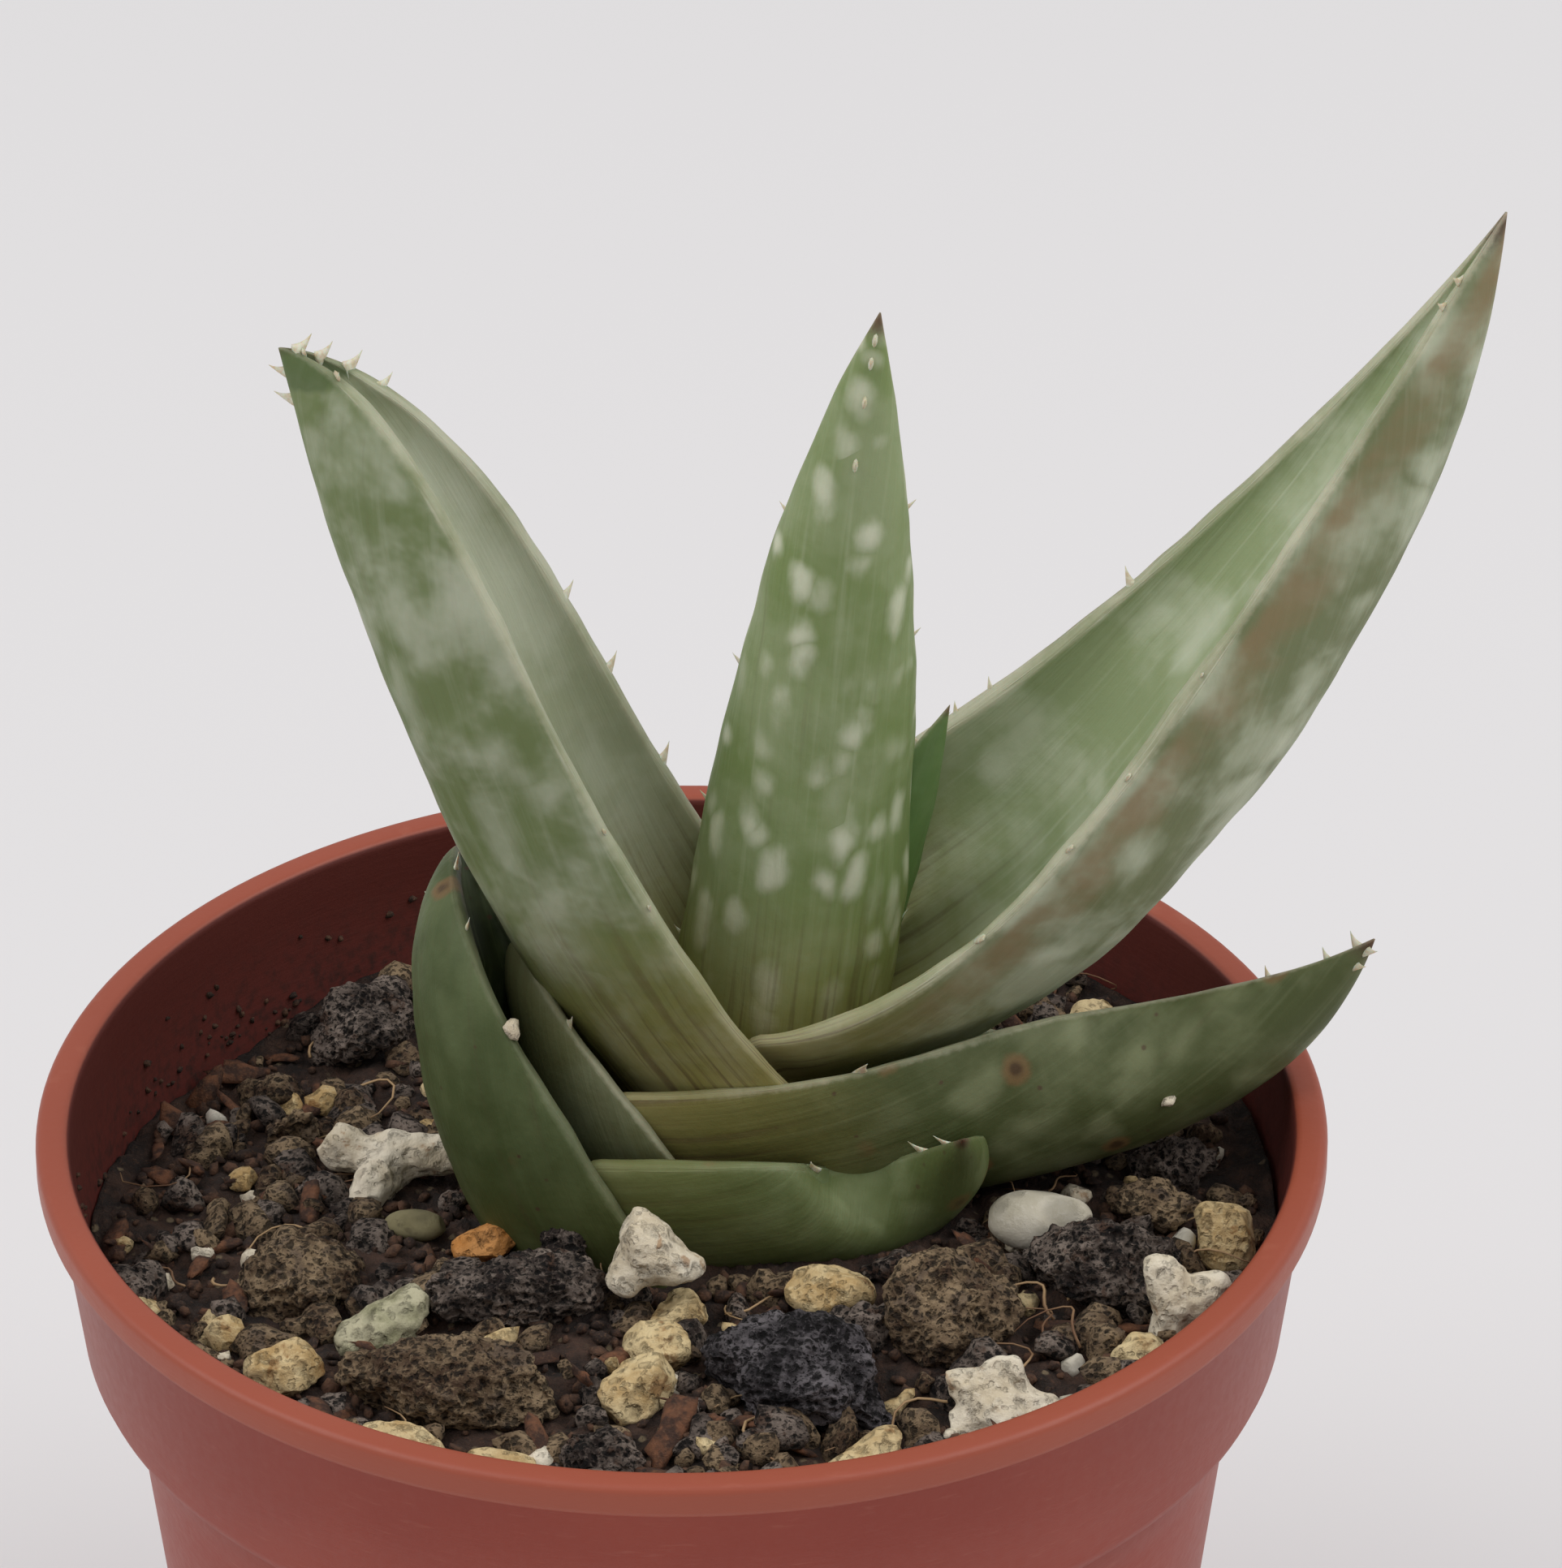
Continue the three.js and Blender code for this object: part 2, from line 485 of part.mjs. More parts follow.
plant.add(part('stem', stemSolid(), COLOURS.stem, 0.7));
Object.entries(LEAVES).forEach(([name, leaf], i, all) => {
  const colour = new THREE.Color(COLOURS.inner).lerp(new THREE.Color(COLOURS.outer), i / (all.length - 1));
  plant.add(part(name, clearOf(leafSolid(leaf), taken), colour, 0.55));
  taken.push(bladeSolid(leaf, FILLED, FILLED.gap));
});

// From here on the places are measured from the pot's underside.
const holes = taken.map((cutter) => cutter.translate([0, 0, POT.height]));
const sockets = [...holes];
Object.entries(STONES).forEach(([name, stone], i) => {
  const { colour, roughness } = KINDS[stone.kind];
  const facets = Math.max(...stone.size) > STONE.smallTo ? STONE.facets : STONE.smallFacets;
  const seed = STONE.seed + STONE.seedStep * i;
  aloe.add(part(name, clearOf(stoneSolid(stone, seed, facets), holes), colour, roughness));
  holes.push(stoneSolid(stone, seed, facets, GAP));
  const socketFacets = stone.spread > SOCKET.slim ? STONE.facets : SOCKET.facets;
  sockets.push(stoneSolid(stone, seed, socketFacets, SOCKET.gap));
});
aloe.add(part('soil', clearOf(soilSolid(), sockets), COLOURS.soil, 1));
aloe.add(part('pot', potSolid(), COLOURS.pot, 0.45));

export default aloe;
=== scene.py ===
# %% [markdown]
# # A young aloe in a small pot of grit
# The object is a two-ranked aloe in a terracotta-coloured plastic nursery pot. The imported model
# holds every solid at its real size. This lesson dresses it: each solid gets a finer piece of the
# same form, and the things that only the eye needs, such as crumbs and fibres, are added.

import math
import random

import bmesh
import bpy
from mathutils import Euler, Matrix, Vector, noise
from mathutils.bvhtree import BVHTree


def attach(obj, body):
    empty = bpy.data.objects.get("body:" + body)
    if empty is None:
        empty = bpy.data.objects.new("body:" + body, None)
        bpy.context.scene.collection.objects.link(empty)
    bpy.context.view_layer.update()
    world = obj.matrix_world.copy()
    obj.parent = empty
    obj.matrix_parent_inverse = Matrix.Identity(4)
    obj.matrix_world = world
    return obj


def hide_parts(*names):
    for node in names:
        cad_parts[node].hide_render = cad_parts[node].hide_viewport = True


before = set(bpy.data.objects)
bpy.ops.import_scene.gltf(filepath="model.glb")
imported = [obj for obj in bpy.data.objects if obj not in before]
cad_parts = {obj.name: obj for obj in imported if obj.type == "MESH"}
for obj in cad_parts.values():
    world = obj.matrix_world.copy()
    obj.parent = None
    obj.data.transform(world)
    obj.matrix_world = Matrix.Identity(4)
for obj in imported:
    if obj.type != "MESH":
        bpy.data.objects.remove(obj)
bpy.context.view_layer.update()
MM = 0.001
print("nodes in the frame:", len(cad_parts))

# %% [markdown]
# ## The camera
# The pot's rim shows as an ellipse. Its flatness gives how far the camera looks down, and its
# nearer half is a little larger than its farther half, which gives the distance. The picture is
# cut off above the pot's foot, so the camera looks past the rim's centre, up and to the right.

# %% Camera
RIM_HEIGHT = 55
CAMERA_DISTANCE = 450
CAMERA_RISE = math.radians(33.097)
CAMERA_DOWN = math.radians(30.98)
CAMERA_YAW = math.radians(0.758)
SENSOR = 36
LENS = 204.9

eye = Vector((0, -math.cos(CAMERA_RISE), math.sin(CAMERA_RISE))) * CAMERA_DISTANCE
eye.z += RIM_HEIGHT
ahead = Vector((
    math.sin(CAMERA_YAW) * math.cos(CAMERA_DOWN),
    math.cos(CAMERA_YAW) * math.cos(CAMERA_DOWN),
    -math.sin(CAMERA_DOWN),
))
camera_data = bpy.data.cameras.new("camera")
camera_data.sensor_fit = "VERTICAL"
camera_data.sensor_height = SENSOR
camera_data.lens = LENS
camera_data.clip_start = 0.01
camera = bpy.data.objects.new("camera", camera_data)
camera.location = eye * MM
camera.rotation_euler = ahead.to_track_quat("-Z", "Y").to_euler()
bpy.context.scene.collection.objects.link(camera)
bpy.context.scene.camera = camera
bpy.context.scene.view_settings.view_transform = "Standard"
print("camera at", [round(value) for value in eye], "mm")

# %% [markdown]
# ## Shader sums
# A material is a sum of many small patterns. Written as nodes by hand it is hard to read, so one
# small class wraps a socket and lets Python's own operators add the Math nodes. Colours are mixed
# by the Mix node, because a Math node would turn them grey.

# %% A socket that can be summed
class Value:
    """One output socket of a material, for sums such as 1 - mask * 0.5."""

    def __init__(self, paint, socket):
        self.paint = paint
        self.socket = socket

    def sum(self, operation, *others):
        return self.paint.node("ShaderNodeMath", {"operation": operation}, dict(enumerate(others)))

    def __add__(self, other):
        return self.sum("ADD", self, other)

    def __radd__(self, other):
        return self.sum("ADD", other, self)

    def __sub__(self, other):
        return self.sum("SUBTRACT", self, other)

    def __rsub__(self, other):
        return self.sum("SUBTRACT", other, self)

    def __mul__(self, other):
        return self.sum("MULTIPLY", self, other)

    def __rmul__(self, other):
        return self.sum("MULTIPLY", other, self)

    def __truediv__(self, other):
        return self.sum("DIVIDE", self, other)

# %% A material to paint in
class Paint:
    """A material with a Principled shader, and one method that adds any node."""

    def __init__(self, name, **constants):
        self.material = bpy.data.materials.new(name)
        self.material.use_nodes = True
        self.tree = self.material.node_tree
        self.shader = self.tree.nodes["Principled BSDF"]
        for socket, number in constants.items():
            self.shader.inputs[socket.replace("_", " ")].default_value = number

    def plug(self, socket, value):
        if isinstance(value, Value):
            self.tree.links.new(value.socket, socket)
        else:
            socket.default_value = value

    def node(self, kind, settings=None, sockets=None, output=0):
        node = self.tree.nodes.new(kind)
        for setting, value in (settings or {}).items():
            setattr(node, setting, value)
        for socket, value in (sockets or {}).items():
            self.plug(node.inputs[socket], value)
        return Value(self, node.outputs[output])

    def put(self, socket, value):
        self.plug(self.shader.inputs[socket], value)

    def object_mm(self):
        """The place on the object, in millimetres."""
        place = self.node("ShaderNodeTexCoord", output="Object")
        return self.node("ShaderNodeVectorMath", {"operation": "SCALE"}, {0: place, "Scale": 1 / MM})

    def attribute(self, name):
        return self.node("ShaderNodeAttribute", {"attribute_name": name}, output="Vector")

    def split(self, vector):
        node = self.tree.nodes.new("ShaderNodeSeparateXYZ")
        self.plug(node.inputs[0], vector)
        return [Value(self, socket) for socket in node.outputs]

    def join(self, x, y, z):
        return self.node("ShaderNodeCombineXYZ", None, {0: x, 1: y, 2: z})

    def stretch(self, vector, x, y, z):
        return self.node("ShaderNodeVectorMath", {"operation": "MULTIPLY"}, {0: vector, 1: (x, y, z)})

    def ramp(self, value, low, high, start=0.0, end=1.0):
        """A soft step: start up to low, end from high on."""
        sockets = {"Value": value, "From Min": low, "From Max": high, "To Min": start, "To Max": end}
        return self.node("ShaderNodeMapRange", {"interpolation_type": "SMOOTHSTEP"}, sockets)

    def noise(self, vector, scale, detail=2.0, roughness=0.5, distortion=0.0):
        sockets = {"Vector": vector, "Scale": scale, "Detail": detail, "Roughness": roughness}
        return self.node("ShaderNodeTexNoise", None, {**sockets, "Distortion": distortion})

    def cells(self, vector, scale, output="Distance"):
        return self.node("ShaderNodeTexVoronoi", None, {"Vector": vector, "Scale": scale}, output)

    def mix(self, share, first, second):
        return self.node("ShaderNodeMix", {"data_type": "RGBA"}, {0: share, 6: first, 7: second}, 2)

    def bump(self, height, depth):
        """Raises the surface in light alone, by a height from 0 to 1 times a depth in millimetres."""
        sockets = {"Height": height, "Distance": depth * MM, "Strength": 1.0}
        self.put("Normal", self.node("ShaderNodeBump", None, sockets))


def rgb(red, green, blue):
    """A screen colour from 0 to 255 as the linear colour that shaders use."""
    shares = [value / 255 for value in (red, green, blue)]
    linear = [s / 12.92 if s <= 0.04045 else ((s + 0.055) / 1.055) ** 2.4 for s in shares]
    return (*linear, 1.0)

# %% [markdown]
# ## Making pieces
# Pieces are modelled in millimetres with bmesh and turned to metres at the end. Two helpers do
# most of the work. `wrap` bends a flat grid into a closed skin, which suits leaves, prickles and
# fibres. `turned` spins a profile round the pot's axis, as a pot is formed.

# %% Helpers for pieces
def to_object(name, mesh, *materials):
    """Turns a bmesh in millimetres into a smooth object in metres that rides on the pot."""
    bmesh.ops.scale(mesh, vec=(MM, MM, MM), verts=mesh.verts)
    bmesh.ops.recalc_face_normals(mesh, faces=mesh.faces)
    for face in mesh.faces:
        face.smooth = True
    data = bpy.data.meshes.new(name)
    mesh.to_mesh(data)
    mesh.free()
    for material in materials:
        data.materials.append(material)
    item = bpy.data.objects.new(name, data)
    bpy.context.scene.collection.objects.link(item)
    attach(item, "root")
    triangles = sum(len(face.vertices) - 2 for face in data.polygons)
    print(name, triangles, "triangles")
    return item


def wrap(mesh, around, along, place):
    """Bends a grid into a tube with closed ends.

    place(vert, turn, run) gives the point of a vertex. Turn goes from 0 to 1 round the tube, and
    run from 0 to 1 along it.
    """
    verts = bmesh.ops.create_grid(mesh, x_segments=around, y_segments=along, size=0.5)["verts"]
    for vert in verts:
        vert.co = place(vert, vert.co.x + 0.5, vert.co.y + 0.5)
    bmesh.ops.remove_doubles(mesh, verts=verts, dist=1e-5)
    verts = [vert for vert in verts if vert.is_valid]
    rims = {edge for vert in verts for edge in vert.link_edges if edge.is_boundary}
    bmesh.ops.holes_fill(mesh, edges=list(rims))
    return verts


def turned(profile, steps):
    """Spins a closed profile of [radius, height] points round the Z axis."""
    mesh = bmesh.new()
    verts = [mesh.verts.new((radius, 0, height)) for radius, height in profile]
    edges = [mesh.edges.new(pair) for pair in zip(verts, verts[1:])]
    bmesh.ops.spin(
        mesh, geom=verts + edges, cent=(0, 0, 0), axis=(0, 0, 1), angle=math.tau,
        steps=steps, use_merge=True,
    )
    bmesh.ops.remove_doubles(mesh, verts=mesh.verts, dist=1e-4)
    return mesh

# %% [markdown]
# ## The pot
# A nursery pot is blown or moulded from thin plastic: a stiff lip, a tapering collar that lets
# pots stack, a small step and a tapering body with a flat foot. A spun profile gives all of it,
# with every corner rounded by a few points of an arc.

# %% Pot sizes
POT = {
    "height": 55, "lip_radius": 32.5, "lip_inner": 30.8, "lip_height": 1.8, "lip_round": 0.45,
    "collar_top": 31.6, "collar_bottom": 30.5, "collar_height": 10.8, "shoulder_height": 2.2,
    "body_top": 28.3, "body_bottom": 23.5, "foot_round": 1, "wall": 0.8, "floor": 1.2,
    "drain_radius": 2.5, "drain_ring": 14, "drains": 4, "steps": 180,
}
LIP_FOOT = POT["height"] - POT["lip_height"]
COLLAR_FOOT = POT["height"] - POT["collar_height"]
SHOULDER_FOOT = COLLAR_FOOT - POT["shoulder_height"]
EASED = {
    "body_in": 0.35, "body_down": 3, "step_in": 0.9, "step_down": 1.3, "edge_in": 0.25, "edge_down": 0.6,
}


def arc(centre, radius, start, end, points):
    """Points on an arc of a profile, with its angles in degrees."""
    angles = [math.radians(start + (end - start) * i / (points - 1)) for i in range(points)]
    return [(centre[0] + radius * math.cos(a), centre[1] + radius * math.sin(a)) for a in angles]


def pot_profile():
    """The outside from the middle of the foot to the lip, and the inside from the lip to the floor."""
    height = POT["height"]
    bend = POT["lip_round"]
    wall = POT["wall"]
    foot = POT["foot_round"]
    lip = POT["lip_radius"] - bend
    inner = POT["lip_inner"] + bend
    outside = [(0, 0), (POT["body_bottom"] - foot, 0)]
    outside += arc((POT["body_bottom"] - foot, foot), foot, -80, 0, 5)
    outside += [
        (POT["body_top"] - EASED["body_in"], SHOULDER_FOOT - EASED["body_down"]),
        (POT["body_top"], SHOULDER_FOOT),
        (POT["collar_bottom"] - EASED["step_in"], COLLAR_FOOT - EASED["step_down"]),
        (POT["collar_bottom"] - EASED["edge_in"], COLLAR_FOOT - EASED["edge_down"]),
        (POT["collar_bottom"], COLLAR_FOOT),
        (POT["collar_top"], LIP_FOOT - 0.2),
    ]
    outside += arc((lip, LIP_FOOT + bend), bend, -90, 0, 5)
    outside += arc((lip, height - bend), bend, 0, 90, 6)
    inside = arc((inner, height - bend), bend, 90, 180, 6)
    inside += [
        (POT["collar_top"] - wall, LIP_FOOT - 0.4),
        (POT["collar_bottom"] - wall, COLLAR_FOOT),
        (POT["body_top"] - wall, SHOULDER_FOOT),
        (POT["body_bottom"] - wall, POT["floor"]),
        (0, POT["floor"]),
    ]
    return outside, inside

# %% Pot finish
def pot_material():
    paint = Paint("pot plastic", Specular_IOR_Level=0.4)
    place = paint.object_mm()
    height = paint.split(place)[2]
    inside = paint.split(paint.attribute("inside"))[0]
    cloud = paint.noise(place, 0.09, 3)
    fine = paint.noise(place, 1.6, 4, 0.6)
    scratches = paint.noise(paint.stretch(place, 1, 1, 9), 0.5, 2, 0.7)
    clay = paint.mix(paint.ramp(cloud, 0.35, 0.7), rgb(146, 54, 36), rgb(152, 60, 41))
    clay = paint.mix(paint.ramp(scratches, 0.6, 0.78) * 0.12, clay, rgb(206, 140, 118))
    # The lip is painted lighter than the collar: a painted highlight along the rim.
    lip = paint.ramp(height, LIP_FOOT - 0.2, LIP_FOOT + 0.3)
    clay = paint.mix(lip * 0.4, clay, rgb(176, 104, 80))
    # Inside, the wall is painted darker than the outside: painted shade with some peat dust. A patchy mask
    # darkens it further from the rim down toward the soil, partly peat dust and partly painted shade.
    peat_dust_and_shade = paint.ramp(fine, 0.4, 0.75) * paint.ramp(height, POT["height"] - 1, POT["height"] - 9)
    dark = paint.mix(peat_dust_and_shade, rgb(98, 40, 33), rgb(48, 28, 22))
    paint.put("Base Color", paint.mix(inside, clay, dark))
    paint.put("Roughness", 0.36 + fine * 0.16 + inside * 0.2)
    paint.bump(fine * 0.5 + scratches * 0.5, 0.03)
    return paint.material

# %% Build the pot
def on_profile(vert, profile):
    """True for a vertex that was spun from one of the profile's points."""
    radius = Vector(vert.co[:2]).length
    return any(math.hypot(radius - r, vert.co.z - z) < 0.01 for r, z in profile)


outside, inside = pot_profile()
inside_wall = [point for point in inside if point[0] < POT["lip_inner"] + 0.1]
mesh = turned(outside + inside, POT["steps"])
inner_layer = mesh.verts.layers.float_vector.new("inside")
for vert in mesh.verts:
    vert[inner_layer] = (float(on_profile(vert, inside_wall)), 0, 0)
pot = to_object("pot_shell", mesh, pot_material())
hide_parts("pot")

# %% [markdown]
# The four drain holes are cut by a Boolean with four short rods, as the mould's pins leave them.

# %% Drain holes
mesh = bmesh.new()
for index in range(POT["drains"]):
    angle = (index + 0.5) / POT["drains"] * math.tau
    ring = POT["drain_ring"]
    place = Matrix.Translation((ring * math.cos(angle), ring * math.sin(angle), 0))
    bmesh.ops.create_cone(
        mesh, cap_ends=True, segments=32, radius1=POT["drain_radius"], radius2=POT["drain_radius"],
        depth=4 * POT["floor"], matrix=place,
    )
pins = to_object("drain_pins", mesh)
cut = pot.modifiers.new("drains", "BOOLEAN")
cut.operation = "DIFFERENCE"
cut.object = pins
bpy.context.view_layer.update()
drained = bpy.data.meshes.new_from_object(pot.evaluated_get(bpy.context.evaluated_depsgraph_get()))
pot.modifiers.clear()
pot.data = drained
bpy.data.objects.remove(pins)
print("pot has", len(drained.polygons), "faces after its drain holes")

# %% [markdown]
# ## Leaves
# An aloe leaf is a fleshy channel: round on the back, hollow in front, with a hard pale edge that
# carries prickles. Each leaf follows a curve along the ridge of its back. At every place on that
# curve a section is drawn, from the right margin round the back to the left margin and home along
# the channel. The same few sizes as in the solid model drive it, with many more points.

# %% Leaf sizes
BLADE = {
    "base_share": 0.42, "margin": 0.9, "thinnest": 0.7, "reach": 0.997, "bead": 0.2, "ripple": 0.35,
    "rows": 120, "around": 88, "rows_toward_tip": 1.25,
}
SHEATH = {"foot": -11.5, "drawn_in": 0.3, "run_on": 3, "share": 0.1}
STEM = {"top": Vector((5.3, 4.6, -0.6)), "foot": Vector((3.2, 4.2, -19))}

LEAVES = {
    "leaf_youngest": {
        "ridge": [(5.9, 4.8, -0.9), (9.2, 4.9, 6), (11.8, 6.1, 13.2), (13.5, 6.1, 20.3)],
        "opens": [(-0.24, 0.96, 0.13), (-0.38, 0.92, 0.14)],
        "half_width": 3.5, "width_taper": 1.8, "depth": 3.4, "depth_taper": 1.8,
        "thickness": 1.6, "clasp": 1,
        "teeth": {"left": [0.55, 0.75, 0.93], "right": [0.4, 0.51, 0.68, 0.86], "ridge": []},
    },
    "leaf_centre": {
        "ridge": [(4.9, 0.7, -1.8), (7, 0.8, 15.8), (7.5, 1.6, 31), (9.8, 2.1, 44.6)],
        "opens": [(-0.09, 0.99, 0.03), (0.11, 0.99, 0.02)],
        "half_width": 5.7, "width_taper": 2.2, "depth": 5.9, "depth_taper": 1.75,
        "thickness": 2.6, "clasp": 2,
        "teeth": {
            "left": [0.2, 0.36, 0.55, 0.72], "right": [0.174, 0.33, 0.5, 0.7],
            "ridge": [0.8, 0.88, 0.93, 0.96],
        },
    },
    "leaf_right_tall": {
        "ridge": [(9, 9.2, -0.5), (23, 7, 3), (39.3, 6.4, 26.3), (40.2, 6.7, 47.5)],
        "opens": [(-0.25, -0.41, 0.86), (-0.98, 0.04, 0.11)],
        "half_width": 7.7, "width_taper": 2.2, "depth": 11, "depth_taper": 2.9,
        "thickness": 7, "clasp": 1.8,
        "teeth": {
            "left": [0.327, 0.373, 0.547], "ridge": [],
            "right": [0.283, 0.402, 0.482, 0.586, 0.918, 0.939],
        },
    },
    "leaf_left_tall": {
        "ridge": [(-1.7, 3.9, -2), (-13.7, 3, 13.4), (-18.2, 5.1, 36.8), (-19.4, 6.6, 40.4)],
        "opens": [(0.75, -0.08, 0.64), (0.89, -0.32, 0.37)],
        "half_width": 6.3, "width_taper": 1.7, "depth": 9.4, "depth_taper": 3.7,
        "thickness": 6.4, "clasp": 1.4,
        "teeth": {
            "left": [0.25, 0.334, 0.9, 0.96], "right": [0.285, 0.403, 0.5, 0.85, 0.9, 0.94, 0.97],
            "ridge": [0.86, 0.92],
        },
    },
    "leaf_right_low": {
        "ridge": [(2.2, 2.6, -6.1), (16.7, -1.9, -5.7), (28.4, -0.6, -1.5), (34.8, 1.8, 9.1)],
        "opens": [(-0.06, 0.05, 0.99), (-0.23, 0.97, 0.02)],
        "half_width": 7.1, "width_taper": 2.3, "depth": 8.8, "depth_taper": 1.8,
        "thickness": 4.5, "clasp": 3,
        "teeth": {
            "left": [0.3, 0.5, 0.7, 0.9, 0.96], "right": [0.24, 0.85, 0.93, 0.97], "ridge": [0.95, 0.975],
        },
    },
    "leaf_left_inner": {
        "ridge": [(-4.6, 1.9, -7.4), (-7.6, 1.8, 0), (-9.3, 2.5, 4.8), (-8.2, 7.8, 6.9)],
        "opens": [(0.91, 0.06, 0.39), (0.8, -0.14, 0.57)],
        "half_width": 6.8, "width_taper": 2, "depth": 7.3, "depth_taper": 1.6,
        "thickness": 2, "clasp": 2,
        "teeth": {"left": [0.6, 0.8], "right": [0.6, 0.8], "ridge": []},
    },
    "leaf_front_short": {
        "ridge": [(1.1, -0.9, -8.4), (11.9, -3.6, -7.9), (14.7, -2.6, -5.6), (13.9, -7, 3)],
        "opens": [(-0.19, 0.1, 0.96), (-0.25, 0.6, 0.74)],
        "half_width": 6.5, "width_taper": 2.1, "depth": 8.8, "depth_taper": 1.6,
        "thickness": 2.6, "clasp": 3.5,
        "teeth": {"left": [0.7], "right": [0.5, 0.86, 0.93], "ridge": []},
    },
    "leaf_left_low": {
        "ridge": [(-9.2, 0.6, -8), (-14.9, -0.1, 2.3), (-13.6, 2.4, 8.3), (-11.3, 9.5, 10.2)],
        "opens": [(0.88, -0.01, 0.46), (0.81, -0.01, 0.57)],
        "half_width": 7.4, "width_taper": 2.1, "depth": 8.5, "depth_taper": 2.05,
        "thickness": 3.4, "clasp": 2,
        "teeth": {"left": [0.7, 0.85], "right": [0.7, 0.85], "ridge": [0.83, 0.88, 0.95]},
    },
}

# %% The frame of a leaf
def bezier(points, t):
    """A point on a cubic Bezier curve, and the direction of the curve there."""
    a, b, c, d = [Vector(point) for point in points]
    s = 1 - t
    place = a * s**3 + b * (3 * s * s * t) + c * (3 * s * t * t) + d * t**3
    along = (b - a) * (3 * s * s) + (c - b) * (6 * s * t) + (d - c) * (3 * t * t)
    return place, along.normalized()


def leaf_frame(leaf, t):
    """Where the leaf is at t from 0 at its root to 1 at its tip, and how wide and deep it is."""
    ridge, along = bezier(leaf["ridge"], t)
    opens = Vector(leaf["opens"][0]).lerp(Vector(leaf["opens"][1]), t)
    opens = (opens - along * opens.dot(along)).normalized()
    return {
        "ridge": ridge, "along": along, "opens": opens, "right": along.cross(opens),
        "half_width": leaf["half_width"] * (1 - t ** leaf["width_taper"]),
        "depth": leaf["depth"] * (1 - t ** leaf["depth_taper"]),
        "clasp": leaf["clasp"] * (1 - t) ** 4,
        "thickness": leaf["thickness"] * (1 - (1 - BLADE["base_share"]) * (1 - t) ** 3),
    }


def section_point(at, side, up):
    """A point of a section: side counts toward the right margin, and up from the ridge of the back."""
    back = at["clasp"] * max(0, up / at["depth"])
    return at["ridge"] + at["opens"] * up + at["right"] * side - at["along"] * back

# %% [markdown]
# The turn round a section is shared out between the back, the two rounded edges and the channel.
# The edge is where the prickles stand, so it gets points of its own.

# %% One section of a leaf
BACK_END = 0.52
EDGE_SHARE = 0.04


def section_place(at, turn):
    """Side, height, way round and face at a turn from 0 to 1 round a section.

    The way round goes evenly from 1 at the right margin to -1 at the left one, on the back, where
    the face is 0, and in the channel, where it is 1.
    """
    width = at["half_width"]
    depth = at["depth"]
    flesh = max(min(at["thickness"], 0.7 * depth), min(BLADE["thinnest"], 0.8 * depth))
    margin = min(BLADE["margin"], 0.6 * width)
    turn = (turn - EDGE_SHARE / 2) % 1
    channel_end = 1 - EDGE_SHARE
    if turn < BACK_END:
        angle = math.pi * turn / BACK_END
        return width * math.cos(angle), depth * (1 - math.sin(angle)), 1 - 2 * angle / math.pi, 0.0
    if turn < BACK_END + EDGE_SHARE:
        angle = math.pi * (turn - BACK_END) / EDGE_SHARE
        side = -(width - margin / 2 + margin / 2 * math.cos(angle))
        return side, depth + BLADE["bead"] * margin * math.sin(angle), -1.0, angle / math.pi
    if turn < channel_end:
        angle = math.pi * (1 - (turn - BACK_END - EDGE_SHARE) / (channel_end - BACK_END - EDGE_SHARE))
        up = depth - (depth - flesh) * math.sin(angle)
        return (width - margin) * math.cos(angle), up, 1 - 2 * angle / math.pi, 1.0
    angle = math.pi * (turn - channel_end) / EDGE_SHARE
    side = width - margin / 2 - margin / 2 * math.cos(angle)
    return side, depth + BLADE["bead"] * margin * math.sin(angle), 1.0, 1 - angle / math.pi

# %% [markdown]
# Below its root every leaf runs on as a sheath round the stem and ends in the soil. Each point of
# the root section slides down a small Bezier curve, first back along the leaf and then down.

# %% A leaf's skin
def stem_axis(height):
    share = (height - STEM["foot"].z) / (STEM["top"].z - STEM["foot"].z)
    return STEM["foot"].lerp(STEM["top"], share)


def sheath_point(point, along, step):
    """Where a point of the root section is on its way down the sheath, at a step from 0 to 1."""
    out = (point - stem_axis(point.z)) * (1 - SHEATH["drawn_in"])
    foot = stem_axis(SHEATH["foot"]) + out
    foot.z = SHEATH["foot"]
    bend = point - along * SHEATH["run_on"]
    return point * (1 - step) ** 2 + bend * (2 * step * (1 - step)) + foot * step**2


def leaf_length(leaf):
    stations = [bezier(leaf["ridge"], i / 40)[0] for i in range(41)]
    return sum((b - a).length for a, b in zip(stations, stations[1:]))


